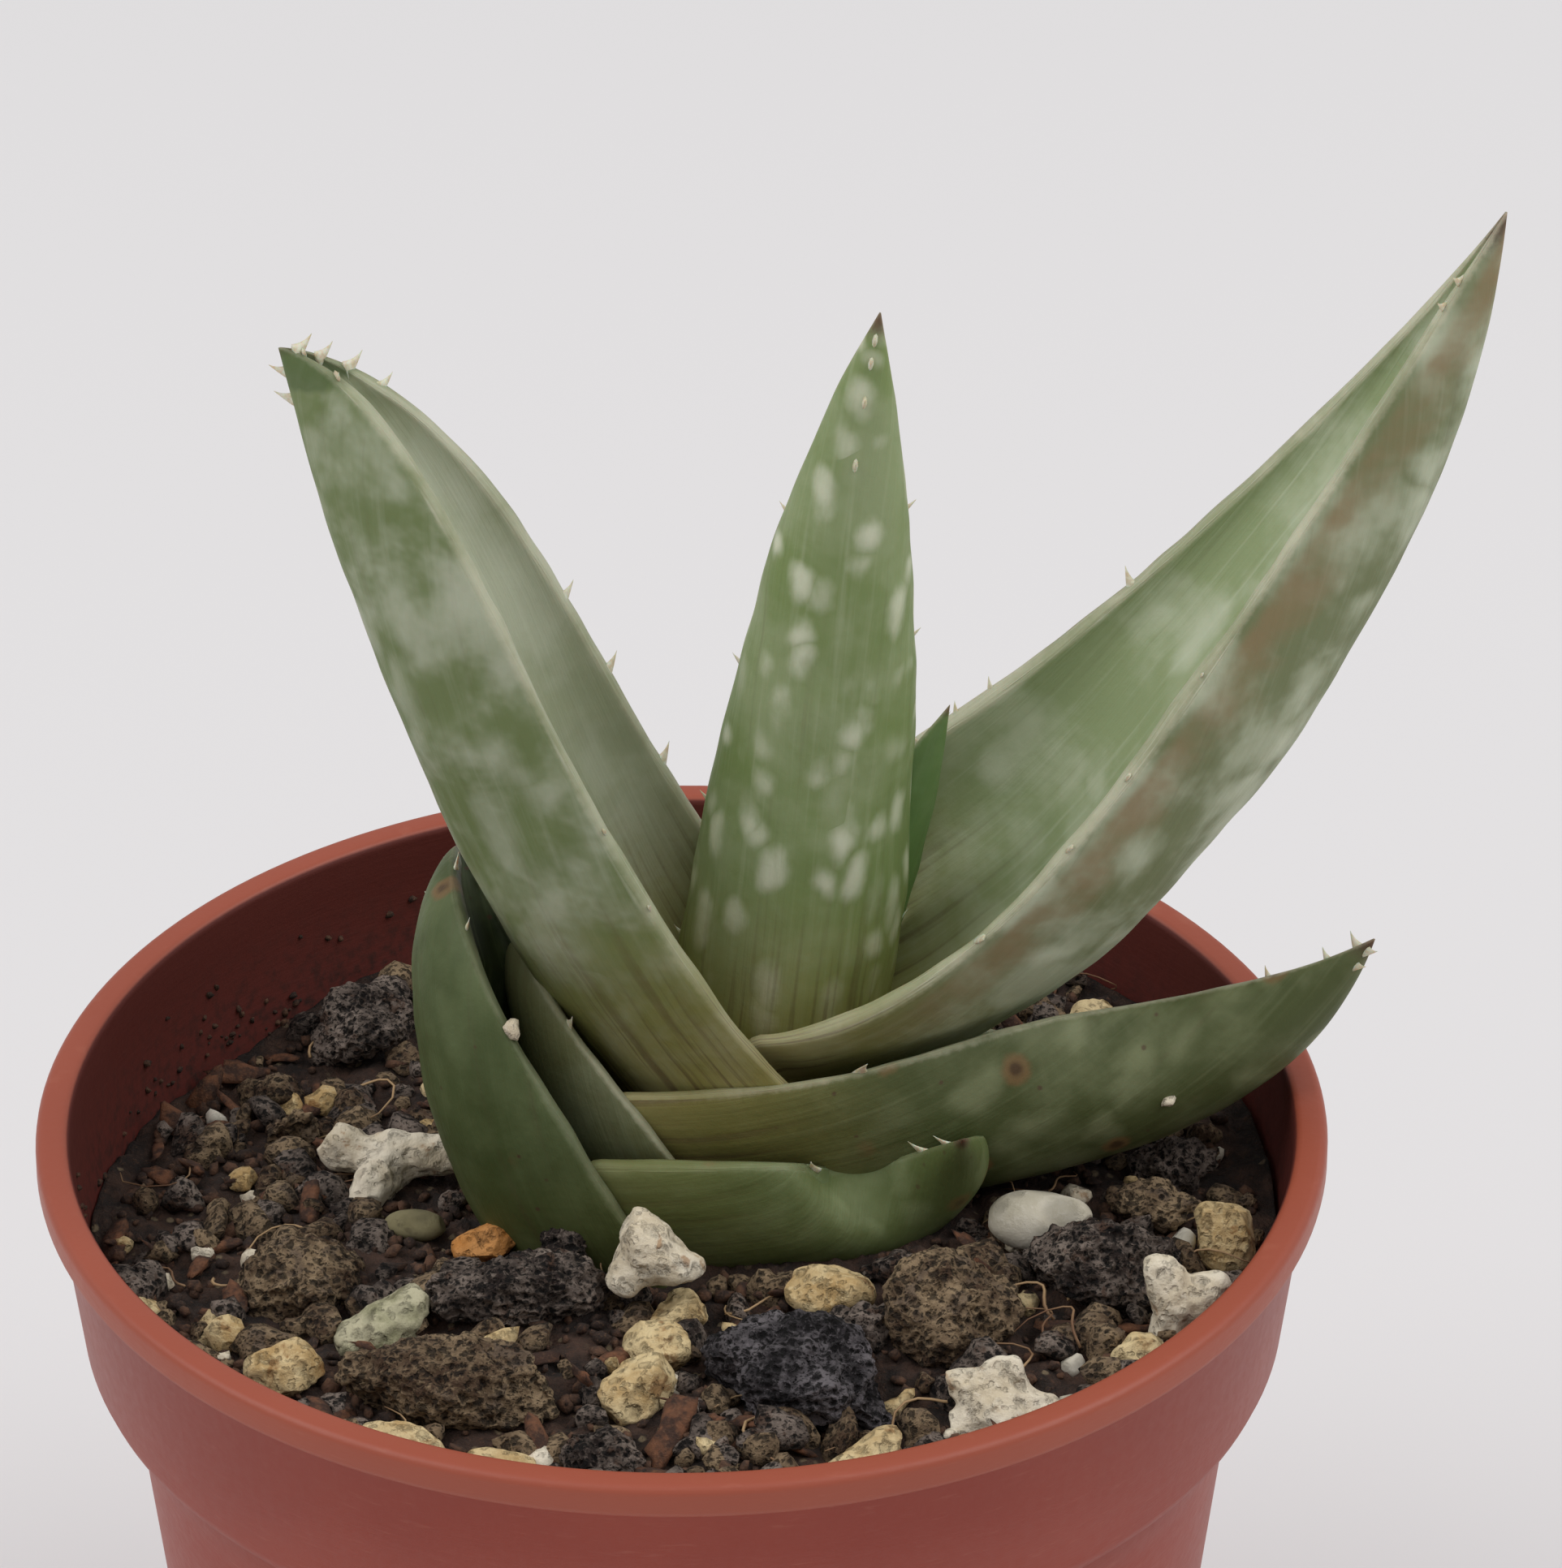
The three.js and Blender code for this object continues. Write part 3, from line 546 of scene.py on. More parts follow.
def leaf_skin(name, leaf):
    """The blade as a bmesh, with the layers that its paint reads.

    leaf_mm holds millimetres along and round, and the face. leaf_share holds the share of the
    length, the way round, and the millimetres from the margin.
    """
    mesh = bmesh.new()
    where = mesh.verts.layers.float_vector.new("leaf_mm")
    share = mesh.verts.layers.float_vector.new("leaf_share")
    length = leaf_length(leaf)

    def place(vert, turn, run):
        step = max(0, 1 - run / SHEATH["share"])
        row = max(0, (run - SHEATH["share"]) / (1 - SHEATH["share"]))
        t = BLADE["reach"] * (1 - (1 - row) ** BLADE["rows_toward_tip"])
        at = leaf_frame(leaf, t)
        side, up, around, channel = section_place(at, turn)
        point = section_point(at, side, up)
        if step > 0:
            point = sheath_point(point, at["along"], step)
        girth = math.pi / 4 * (at["half_width"] + at["depth"] * (1 - 0.4 * channel))
        down = t - 0.15 * step
        vert[where] = (length * down, around * girth, channel)
        vert[share] = (down, around, (1 - abs(around)) * girth)
        return point + Vector((0, 0, RIM_HEIGHT))

    wrap(mesh, BLADE["around"], BLADE["rows"], place)
    bmesh.ops.recalc_face_normals(mesh, faces=mesh.faces)
    mesh.normal_update()
    offset = Vector((len(name), 0, 7))
    for vert in mesh.verts:
        swell = noise.noise(vert.co * 0.16 + offset) * 0.6 + noise.noise(vert.co * 0.45 + offset) * 0.25
        vert.co += vert.normal * BLADE["ripple"] * swell * (1 - vert[share].x ** 4)
    return mesh

# %% [markdown]
# A prickle is a small flattened thorn with a broad foot that leans toward the leaf's tip. It is
# wrapped like a leaf, from a round foot sunk in the margin to a fine point.

# %% Prickles
TOOTH = {
    "radius": 0.34, "length": 0.85, "sunk": 0.3, "lean": 0.35, "flat": 0.5, "broad": 1.4, "point": 0.012,
    "sizes": (0.75, 1.15), "around": 8, "rows": 5,
}
EDGE_SIDE = {"left": -1, "right": 1, "ridge": 0}


def add_tooth(mesh, root, out, along, size):
    """Adds one prickle that stands out from root and leans along the margin."""
    flat = out.cross(along).normalized()
    length = TOOTH["length"] * size

    def place(_, turn, run):
        angle = math.tau * turn
        radius = TOOTH["radius"] * size * (1 - run) ** 1.2 + TOOTH["point"]
        height = run * (length + TOOTH["sunk"]) - TOOTH["sunk"]
        lean = along * (TOOTH["lean"] * size * run**2)
        ring = along * (TOOTH["broad"] * math.cos(angle)) + flat * (TOOTH["flat"] * math.sin(angle))
        return root + out * height + lean + ring * radius

    wrap(mesh, TOOTH["around"], TOOTH["rows"], place)


def leaf_teeth(leaf, draws):
    """All prickles of a leaf in one bmesh."""
    mesh = bmesh.new()
    rim = Vector((0, 0, RIM_HEIGHT))
    for edge, stations in leaf["teeth"].items():
        for t in stations:
            at = leaf_frame(leaf, t)
            side = EDGE_SIDE[edge]
            if side:
                root = section_point(at, side * (at["half_width"] - 0.3), at["depth"] + 0.05)
                out = at["right"] * (side * 0.8) + at["opens"] * 0.6
            else:
                root = section_point(at, 0, 0)
                out = -at["opens"]
            out = (out + at["along"] * 0.25).normalized()
            add_tooth(mesh, root + rim, out, at["along"], draws.uniform(*TOOTH["sizes"]))
    return mesh

# %% [markdown]
# ## Leaf paint
# The skin is a waxy grey-green with pale soft spots, fine lengthwise lines, a yellowish base, a
# hard pale edge and a dark point. The paint reads two layers of the mesh: how many millimetres
# along and across the leaf a point is, and the same as shares, so that spots keep their size.

# %% Leaf looks
LOOKS = {
    "leaf_youngest": {
        "back": rgb(104, 134, 78), "face": rgb(108, 136, 84), "pale": rgb(146, 166, 120),
        "bloom": 0.3, "spots": 0.25, "spot_size": 1.0, "ripe": 0.5, "edge": 0.5,
    },
    "leaf_centre": {
        "back": rgb(126, 144, 90), "face": rgb(138, 154, 112), "pale": rgb(210, 214, 188),
        "bloom": 0.2, "spots": 0.95, "spot_size": 0.85, "ripe": 0.8, "edge": 0.2,
    },
    # This leaf's face colour is lighter than its back: painted light where light falls into its channel.
    "leaf_right_tall": {
        "back": rgb(118, 126, 88), "face": rgb(150, 164, 120), "pale": rgb(204, 210, 184),
        "bloom": 0.55, "spots": 0.7, "spot_size": 1.5, "ripe": 0.65, "edge": 0.6, "band": 0.8,
    },
    # This leaf's face colour is lighter than its back: painted light where light falls into its channel.
    "leaf_left_tall": {
        "back": rgb(112, 126, 80), "face": rgb(162, 168, 138), "pale": rgb(192, 196, 174),
        "bloom": 0.65, "spots": 0.45, "spot_size": 1.4, "ripe": 0.8, "edge": 0.35, "band": 0.6, "tip": 0.75,
    },
    "leaf_right_low": {
        "back": rgb(78, 86, 48), "face": rgb(104, 120, 82), "pale": rgb(146, 152, 114),
        "bloom": 0.35, "spots": 0.55, "spot_size": 1.2, "ripe": 0.55, "edge": 0.45, "scars": 0.9,
    },
    "leaf_left_inner": {
        "back": rgb(98, 100, 64), "face": rgb(94, 100, 64), "pale": rgb(132, 138, 108),
        "bloom": 0.5, "spots": 0.1, "spot_size": 1.1, "ripe": 0.5, "edge": 0.4,
    },
    "leaf_front_short": {
        "back": rgb(94, 106, 60), "face": rgb(96, 108, 66), "pale": rgb(136, 146, 104),
        "bloom": 0.45, "spots": 0.45, "spot_size": 0.9, "ripe": 0.15, "edge": 0.12, "scars": 0.6,
    },
    # This leaf's face colour is painted shade: its channel lies in the shade of the tall left leaf.
    "leaf_left_low": {
        "back": rgb(72, 84, 45), "face": rgb(44, 54, 28), "pale": rgb(112, 124, 84),
        "bloom": 0.4, "spots": 0.25, "spot_size": 0.9, "ripe": 0.1, "edge": 0.12, "scars": 1,
    },
}
OLIVE = rgb(150, 138, 70)
STRAW = rgb(178, 162, 112)
UMBER = rgb(84, 60, 46)
CREAM = rgb(208, 204, 178)
TAN = rgb(142, 122, 88)
FOREST = rgb(80, 98, 56)

# %% Leaf material
def leaf_material(name, look):
    paint = Paint(name, Specular_IOR_Level=0.3, Subsurface_Weight=0.1, Subsurface_Scale=0.0012)
    run, girth, face = paint.split(paint.attribute("leaf_mm"))
    t, around, from_edge = paint.split(paint.attribute("leaf_share"))
    place = paint.object_mm()
    cloud = paint.noise(place, 0.14, 4, 0.62, 0.15)
    grain = paint.noise(place, 2.2, 3, 0.6)
    lines = paint.noise(paint.join(run * 0.05, girth * 1.6, face * 5), 1.0, 3, 0.6)
    skin = paint.mix(face, look["back"], look["face"])
    skin = paint.mix(paint.ramp(cloud, 0.4, 0.66) * look["bloom"], skin, look["pale"])
    skin = paint.mix(paint.ramp(lines, 0.5, 0.75) * (0.16 + face * 0.2), skin, look["pale"])
    skin = paint.mix(paint.ramp(lines, 0.46, 0.2) * 0.22, skin, UMBER)
    spots = leaf_spots(paint, run, girth, face, look)
    skin = paint.mix(spots, skin, look["pale"])
    skin = leaf_ends(paint, skin, t, lines, grain, look["ripe"])
    if "band" in look:
        skin = tan_band(paint, skin, run, around, from_edge, face, look["band"])
    if "tip" in look:
        patch = paint.ramp(t + cloud * 0.12, 0.93, 0.95)
        skin = paint.mix(patch * look["tip"], skin, FOREST)
    if "scars" in look:
        skin = leaf_scars(paint, skin, place, look["scars"])
    edge = paint.ramp(from_edge + grain * 0.3, 0.42, 0.12) * paint.ramp(t, 0.02, 0.2, 0.3, 1)
    skin = paint.mix(edge * paint.ramp(cloud, 0.35, 0.6, 0.5, 1) * look["edge"], skin, CREAM)
    paint.put("Base Color", skin)
    paint.put("Roughness", 0.5 + grain * 0.14 - spots * 0.05)
    paint.bump(lines * 0.5 + grain * 0.25 + spots * 0.3, 0.12)
    return paint.material

# %% Spots, stripe and scars
def leaf_spots(paint, run, girth, face, look):
    """Pale oval spots, longer along the leaf, each of its own strength."""
    size = look["spot_size"]
    wander = paint.noise(paint.join(run * 0.25, girth * 0.25, face), 1.0, 1) * 1.4
    blur = paint.noise(paint.join(run * 0.8, girth * 1.6, face * 3), 1.0, 2) * 0.22
    grid = paint.join(run / (3.3 * size) + wander, girth / (2.3 * size), face * 9)
    near = paint.cells(grid, 1.0) + blur
    kind = paint.split(paint.cells(grid, 1.0, "Color"))[0]
    spot = paint.ramp(near, 0.62, 0.18) * paint.ramp(kind, -0.1, 0.4)
    return spot * look["spots"]


def tan_band(paint, skin, run, around, from_edge, face, strength):
    """The tan stripe that runs along the back of the right margin, with a darker bead here and there."""
    beads = paint.noise(paint.join(run * 0.3, from_edge * 0.3, 0), 1.0, 3, 0.6)
    width = 1.2 + beads * 3.4
    stripe = paint.ramp(from_edge / width, 1.15, 0.4) * paint.ramp(from_edge, 0.2, 0.8)
    stripe = stripe * paint.ramp(around, 0, 0.1) * (1 - face) * paint.ramp(run, 6, 16)
    return paint.mix(stripe * paint.ramp(beads, 0.3, 0.65, 0.3, 1) * strength, skin, TAN)


def leaf_scars(paint, skin, place, strength):
    """Rare dry scars: a brown spot with a darker heart, and finer dark specks round about."""
    scar = paint.cells(place, 0.19) + paint.noise(place, 0.9, 3) * 0.12
    skin = paint.mix(paint.ramp(scar, 0.25, 0.17) * 0.75 * strength, skin, rgb(128, 96, 62))
    skin = paint.mix(paint.ramp(scar, 0.17, 0.1) * 0.8 * strength, skin, rgb(58, 38, 26))
    speck = paint.cells(place, 0.55) + paint.noise(place, 2.5, 2) * 0.08
    return paint.mix(paint.ramp(speck, 0.14, 0.08) * 0.8 * strength, skin, UMBER)

# %% Base and point
def leaf_ends(paint, skin, t, lines, grain, ripe):
    """The yellowish lined base and the dark dry point."""
    base = paint.ramp(t + grain * 0.08, 0.36, 0.06) * ripe
    skin = paint.mix(base, skin, OLIVE)
    foot = paint.ramp(t + lines * 0.12, 0.15, -0.03)
    skin = paint.mix(foot * ripe, skin, STRAW)
    streak = paint.ramp(lines, 0.5, 0.36) * base
    skin = paint.mix(streak * 0.75, skin, UMBER)
    tip = paint.ramp(t + grain * 0.02, 0.965, 0.995)
    return paint.mix(tip * 0.85, skin, UMBER)

# %% Prickle material
def tooth_material():
    paint = Paint("prickle", Subsurface_Weight=0.3, Subsurface_Scale=0.0006, Roughness=0.4)
    grain = paint.noise(paint.object_mm(), 3.0, 2)
    paint.put("Base Color", paint.mix(paint.ramp(grain, 0.3, 0.7), rgb(220, 222, 202), rgb(202, 190, 158)))
    return paint.material

# %% Build the leaves
draws = random.Random(4)
prickle = tooth_material()
leaf_trees = []
for name, leaf in LEAVES.items():
    blade = to_object(name + "_blade", leaf_skin(name, leaf), leaf_material(name, LOOKS[name]))
    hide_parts(name)
    teeth = to_object(name + "_teeth", leaf_teeth(leaf, draws), prickle)
    leaf_trees.append(BVHTree.FromObject(blade, bpy.context.evaluated_depsgraph_get()))

# %% [markdown]
# The stem hides between the leaf bases. Its solid stays, and only gets a dry, fibrous finish.

# %% Stem finish
def stem_material():
    paint = Paint("stem")
    place = paint.object_mm()
    fibres = paint.noise(paint.stretch(place, 1, 1, 0.15), 1.2, 4, 0.6)
    paint.put("Base Color", paint.mix(paint.ramp(fibres, 0.35, 0.7), rgb(96, 76, 50), rgb(168, 150, 108)))
    paint.put("Roughness", 0.7 + fibres * 0.2)
    paint.bump(fibres, 0.2)
    return paint.material


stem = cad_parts["stem"]
stem.data.materials.clear()
stem.data.materials.append(stem_material())

# %% [markdown]
# ## Soil
# The pot is filled with dark peaty grit that has sunk a little, more at the back left. A disc is
# spun with many rings, and its top is raised and roughened by noise.

# %% Soil surface
SOIL = {"level": 5.2, "fall": 2.8, "fall_reach": 25, "fall_toward": (-0.6, 0.8), "bump": 0.35, "wave": 6.5}
SOIL_EDGE = 30.05
SOIL_RINGS = 120
SOIL_STEPS = 240
SOIL_CLEAR = {"floor": 0.3, "body": 0.3, "collar": 0.4}


def soil_height(x, y):
    """Height of the smooth soil at a place, from the pot's underside."""
    away = (x * SOIL["fall_toward"][0] + y * SOIL["fall_toward"][1]) / SOIL["fall_reach"]
    away = min(1, max(0, away))
    wave = math.sin(x / SOIL["wave"] * 2.3 + 1) * math.cos(y / SOIL["wave"] * 1.9)
    wave += math.sin((x + y) / SOIL["wave"] * 1.3)
    return RIM_HEIGHT - SOIL["level"] - SOIL["fall"] * away + SOIL["bump"] * wave


def soil_top(x, y):
    """The soil with its lumps and crumbs."""
    spot = Vector((x, y, 3))
    lumps = noise.noise(spot * 0.35) * 0.5 + noise.noise(spot * 0.9) * 0.35
    crumbs = noise.noise(spot * 2.3) * 0.22 + abs(noise.noise(spot * 4.5)) * 0.25
    return soil_height(x, y) + lumps + crumbs - 0.2

# %% Soil material
def soil_material():
    paint = Paint("peat and grit")
    place = paint.object_mm()
    lumps = paint.noise(place, 0.5, 5, 0.65)
    fine = paint.noise(place, 3.5, 4, 0.7)
    grit = paint.cells(place, 1.5)
    tint = paint.split(paint.cells(place, 1.5, "Color"))[1]
    earth = paint.mix(paint.ramp(lumps, 0.35, 0.7), rgb(36, 27, 23), rgb(84, 60, 48))
    earth = paint.mix(paint.ramp(fine, 0.55, 0.8) * 0.6, earth, rgb(122, 84, 62))
    pale = paint.ramp(tint, 0.8, 0.95) * paint.ramp(grit, 0.4, 0.2)
    earth = paint.mix(pale * 0.7, earth, rgb(150, 132, 104))
    paint.put("Base Color", earth)
    paint.put("Roughness", 0.85 + fine * 0.12)
    paint.bump(lumps + fine * 0.8 + (1 - grit) * 0.4, 0.5)
    return paint.material

# %% Build the soil
SOIL_FOOT = POT["floor"] + SOIL_CLEAR["floor"]
profile = [
    (0, SOIL_FOOT),
    (POT["body_bottom"] - POT["wall"] - SOIL_CLEAR["body"], SOIL_FOOT),
    (POT["body_top"] - POT["wall"] - SOIL_CLEAR["body"], SHOULDER_FOOT),
    (POT["collar_bottom"] - POT["wall"] - SOIL_CLEAR["collar"], COLLAR_FOOT),
]
profile += [(SOIL_EDGE * (1 - ring / SOIL_RINGS), RIM_HEIGHT) for ring in range(SOIL_RINGS + 1)]
mesh = turned(profile, SOIL_STEPS)
for vert in mesh.verts:
    if vert.co.z > RIM_HEIGHT - 0.01:
        vert.co.z = soil_top(vert.co.x, vert.co.y)
soil = to_object("soil_bed", mesh, soil_material())
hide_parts("soil")

# %% [markdown]
# ## Stones
# The top is strewn with pumice, yellow clay, dark lava and a few pebbles. Every large stone starts
# as a ball of many faces. Its lobes are drawn by the same rule as in the solid model. Then it gets
# what its kind is known for: knobs on pumice, chipped flats on clay, and gas bubbles in lava.

# %% Stone sizes
KINDS = {
    "pebble": {"core": 0.92, "lobe": 0.12, "lobes": 5, "slot": "pebble"},
    "pumice": {"core": 0.72, "lobe": 0.34, "lobes": 7, "slot": "pumice"},
    "yellow": {"core": 0.82, "lobe": 0.22, "lobes": 6, "slot": "yellow_stone"},
    "lava": {"core": 0.78, "lobe": 0.26, "lobes": 8, "slot": "lava"},
    "brown": {"core": 0.78, "lobe": 0.26, "lobes": 8, "slot": "brown_stone"},
}
BY_HAND = {
    "stone_fork_white": {
        "arms": [(-0.95, 0.3, 0.1), (1, -0.05, 0.1), (-0.35, -0.9, -0.2)],
        "core": 0.4, "lobe": 0.75, "spread": 9,
    },
    "stone_white_by_leaf": {
        "arms": [(-0.35, 0.1, 0.95), (0.95, -0.2, -0.3), (-0.75, -0.2, -0.7)],
        "core": 0.62, "lobe": 0.5, "spread": 5,
    },
    "stone_orange": {"arms": [(-0.95, 0, -0.1), (0.85, 0.2, 0.5)], "core": 0.6, "lobe": 0.5, "spread": 4},
    "stone_pumice_green": {
        "arms": [(-0.7, -0.2, -0.2), (0.8, 0.3, 0.6)], "core": 0.6, "lobe": 0.55, "spread": 6,
    },
    "stone_white_right": {
        "arms": [(-0.55, 0.1, 0.85), (0.95, 0, 0.4), (-0.3, -0.3, -0.9), (0.6, 0.1, -0.8)],
        "core": 0.55, "lobe": 0.55, "spread": 6,
    },
    "stone_knobbly_white": {
        "arms": [
            (-0.8, 0.1, 0.6), (0.1, 0.4, 0.8), (0.95, 0.1, 0.1), (-0.6, -0.6, -0.4), (0.35, -0.8, 0.1),
        ],
        "core": 0.6, "lobe": 0.5, "spread": 9,
    },
    "stone_cream_front": {
        "arms": [(-1, -0.1, -0.1), (0.75, 0.3, 0.6), (0.9, -0.4, -0.2)],
        "core": 0.5, "lobe": 0.55, "spread": 5,
    },
}
STONES = {
    "stone_fork_white": ("pumice", (-14.9, 3.4), (7.9, 5.8, 3.4), 0, 1),
    "stone_white_by_leaf": ("pumice", (-1.4, -9.6), (4.9, 3.8, 4.2), 0, 3.9),
    "stone_yellow_under": ("yellow", (-0.1, -10.4), (3.2, 2.8, 2.4), 5, 0.7),
    "stone_orange": ("yellow", (-9.7, -4.2), (3.9, 2.4, 2.2), 15, 0.9),
    "stone_grey_green": ("pebble", (-13.5, -1.9), (3.2, 2, 1.6), -12, 0.4),
    "stone_dark_back": ("lava", (-5.7, -6.2), (3.6, 2.8, 2.6), 30, 1.6),
    "stone_dark_left": ("lava", (-8.2, -10), (9.6, 4.8, 4), 8, 0.9),
    "stone_pumice_green": ("pumice", (-14.9, -12), (5, 3.8, 3.2), 0, 0.7),
    "stone_yellow_left": ("yellow", (-19.6, -15.8), (4, 3.3, 3.3), 10, 0.7),
    "stone_brown_front": ("brown", (-11.2, -17.6), (11.4, 6, 4.8), -12, 0.9),
    "stone_black": ("lava", (5.7, -17.2), (10.2, 7, 5.6), -6, 1.1),
    "stone_yellow_mid": ("yellow", (-1.2, -13.9), (4, 3, 2.5), -15, 0.7),
    "stone_yellow_front": ("yellow", (-2.3, -18.3), (4.7, 3.8, 3.1), 18, 0.8),
    "stone_cream_mid": ("yellow", (7.3, -9.6), (4.7, 3.2, 2.9), -20, 0.9),
    "stone_grey_small": ("lava", (9.1, -12.4), (3.7, 2.8, 2.3), 10, 0.7),
    "stone_brown_right": ("brown", (13.4, -11.6), (7.2, 6.2, 6.4), 20, 1),
    "stone_white_oval": ("pebble", (17.9, -4.6), (5.3, 3.2, 3), -4, 1.4),
    "stone_porous_grey": ("lava", (21, -8.2), (8, 5.6, 5.4), 6, 1.2),
    "stone_brown_yellow": ("brown", (23.6, -2.2), (5, 3, 2.7), -12, 0.9),
    "stone_dark_right": ("lava", (24.8, 2.6), (4.4, 3.1, 2.5), -15, 0.5),
    "stone_yellow_right": ("yellow", (27.2, -5.2), (3.6, 3.4, 4.6), 0, 1),
    "stone_white_right": ("pumice", (24.9, -11.8), (4.3, 3.6, 5), 0, 1.2),
    "stone_cream_right": ("yellow", (22.4, -15.4), (2.8, 2.4, 2.2), 0, 0.5),
    "stone_knobbly_white": ("pumice", (15.4, -19.2), (6, 4.3, 3.6), -12, 0.9),
    "stone_cream_front": ("yellow", (8.8, -23.6), (4.9, 2.8, 2.3), 18, 0.9),
    "stone_cream_shard": ("yellow", (-13.7, -22.2), (5.2, 2.6, 2.1), -16, 0.6),
    "stone_orange_front": ("yellow", (-8.9, -23.8), (3.9, 2.3, 1.9), -6, 0.6),
    "stone_dark_front": ("lava", (-4.1, -23.4), (4.1, 3.3, 2.7), 12, 0.5),
    "stone_brown_left": ("brown", (-20.2, 9.2), (2.8, 2.4, 3.2), 20, 0.7),
    "stone_dark_far": ("lava", (-16.6, 19), (6, 5, 4), 30, 0.6),
    "stone_bark_left": ("brown", (-19, -6.8), (7.2, 6, 4.6), 35, 0.4),
    "stone_grey_far": ("lava", (14.5, 20.5), (5.6, 4.4, 3.6), -25, 0.6),
    "stone_white_far": ("pumice", (3, 24.4), (4.2, 3.4, 2.8), 10, 0.7),
    "stone_yellow_far": ("yellow", (21.5, 14.8), (3.6, 3, 2.6), 40, 0.7),
}
SPREAD = 5
STONE_SEED = 11
SEED_STEP = 97

# %% Lobes of a stone
def drawer(seed):
    """Draws numbers from 0 to 1 by the rule of the solid model, so that both give the same lobes."""
    state = seed
    while True:
        state = state * 16807 % 2147483647
        yield state / 2147483647


def stone_form(name, kind, seed):
    """A stone's core, and the directions and strengths of its lobes."""
    if name in BY_HAND:
        form = BY_HAND[name]
        return {**form, "lobes": [(Vector(arm).normalized(), 1) for arm in form["arms"]]}
    draw = drawer(seed)
    lobes = []
    for _ in range(KINDS[kind]["lobes"]):
        height = 2 * next(draw) - 1
        angle = math.tau * next(draw)
        flat = math.sqrt(1 - height * height)
        toward = Vector((flat * math.cos(angle), flat * math.sin(angle), height))
        lobes.append((toward, 0.4 + 0.6 * next(draw)))
    return {**KINDS[kind], "spread": SPREAD, "lobes": lobes}


def lobed_ball(mesh, form, size, subdivisions):
    """Adds a ball with lobes, centred on the origin and of the given size."""
    verts = bmesh.ops.create_icosphere(mesh, subdivisions=subdivisions, radius=1)["verts"]
    for vert in verts:
        way = vert.co.normalized()
        swell = sum(reach * max(0, way.dot(toward)) ** form["spread"] for toward, reach in form["lobes"])
        vert.co = way * (form["core"] + form["lobe"] * swell)
    low = Vector([min(vert.co[axis] for vert in verts) for axis in range(3)])
    high = Vector([max(vert.co[axis] for vert in verts) for axis in range(3)])
    bmesh.ops.translate(mesh, vec=-(low + high) / 2, verts=verts)
    bmesh.ops.scale(mesh, vec=[s / (h - l) for s, h, l in zip(size, high, low)], verts=verts)
    return verts

# %% [markdown]
# The relief of each kind is a height over the smooth ball. A chip is a flat cut: points beyond a
# plane are pushed back to it. A bubble is a small round pit round a random point.

# %% Relief of each kind
RELIEF = {
    "pebble": {"waves": [(0.06, 0.8)]},
    "pumice": {"waves": [(0.34, 0.55), (0.12, 1.7)], "pits": (0.9, 0.12)},
    "yellow": {"waves": [(0.2, 0.6), (0.09, 2.2)], "pits": (0.8, 0.07)},
    "lava": {"waves": [(0.5, 0.5), (0.3, 1.5)], "pits": (0.5, 0.3), "grit": 0.12},
    "brown": {"waves": [(0.5, 0.45), (0.28, 1.4)], "pits": (0.55, 0.24), "grit": 0.12},
}
GRIT_SCALE = 4


def pits(spot, cell, depth):
    """Depth of round bubbles, one in each cell of the given size."""
    near = noise.voronoi(spot / cell)[0][0]
    return -depth * max(0, 1 - (near / 0.5) ** 2)


def relief(kind, spot):
    """Height of the surface over the smooth stone, in millimetres."""
    rule = RELIEF[kind]
    height = sum(size * noise.noise(spot * scale) for size, scale in rule["waves"])
    if "pits" in rule:
        height += pits(spot, *rule["pits"])
    return height + rule.get("grit", 0) * noise.noise(spot * GRIT_SCALE)


def chip(verts, draws, count, depth):
    """Cuts a few flats into a stone."""
    for _ in range(count):
        way = Vector([draws.gauss(0, 1) for _ in range(3)]).normalized()
        reach = max(vert.co.dot(way) for vert in verts)
        limit = reach * draws.uniform(1 - depth, 1 - 0.3 * depth)
        for vert in verts:
            over = vert.co.dot(way) - limit
            if over > 0:
                vert.co -= way * (over * 0.92)


CHIPS = {"pebble": (3, 0.12), "pumice": (2, 0.2), "yellow": (9, 0.3), "lava": (6, 0.3), "brown": (6, 0.3)}


def stone_mesh(kind, size, form, seed, subdivisions):
    """A detailed stone round the origin."""
    mesh = bmesh.new()
    verts = lobed_ball(mesh, form, size, subdivisions)
    chip(verts, random.Random(seed), *CHIPS[kind])
    mesh.normal_update()
    offset = Vector((seed, seed * 0.7, 0))
    heights = [relief(kind, vert.co + offset) for vert in verts]
    for vert, height in zip(verts, heights):
        vert.co += vert.normal * height
    return mesh

# %% [markdown]
# ## Stone paint
# One recipe serves all kinds. Two body colours are mixed by cloudy noise, stains gather in places,
# the raised grain gets a painted highlight in the lighter colour, and pits are painted near black
# as painted shade. Only the numbers differ.

# %% Stone materials
# Near black, painted into the pits and specks as painted shade.
PIT_SHADE = (0.006, 0.005, 0.005, 1)


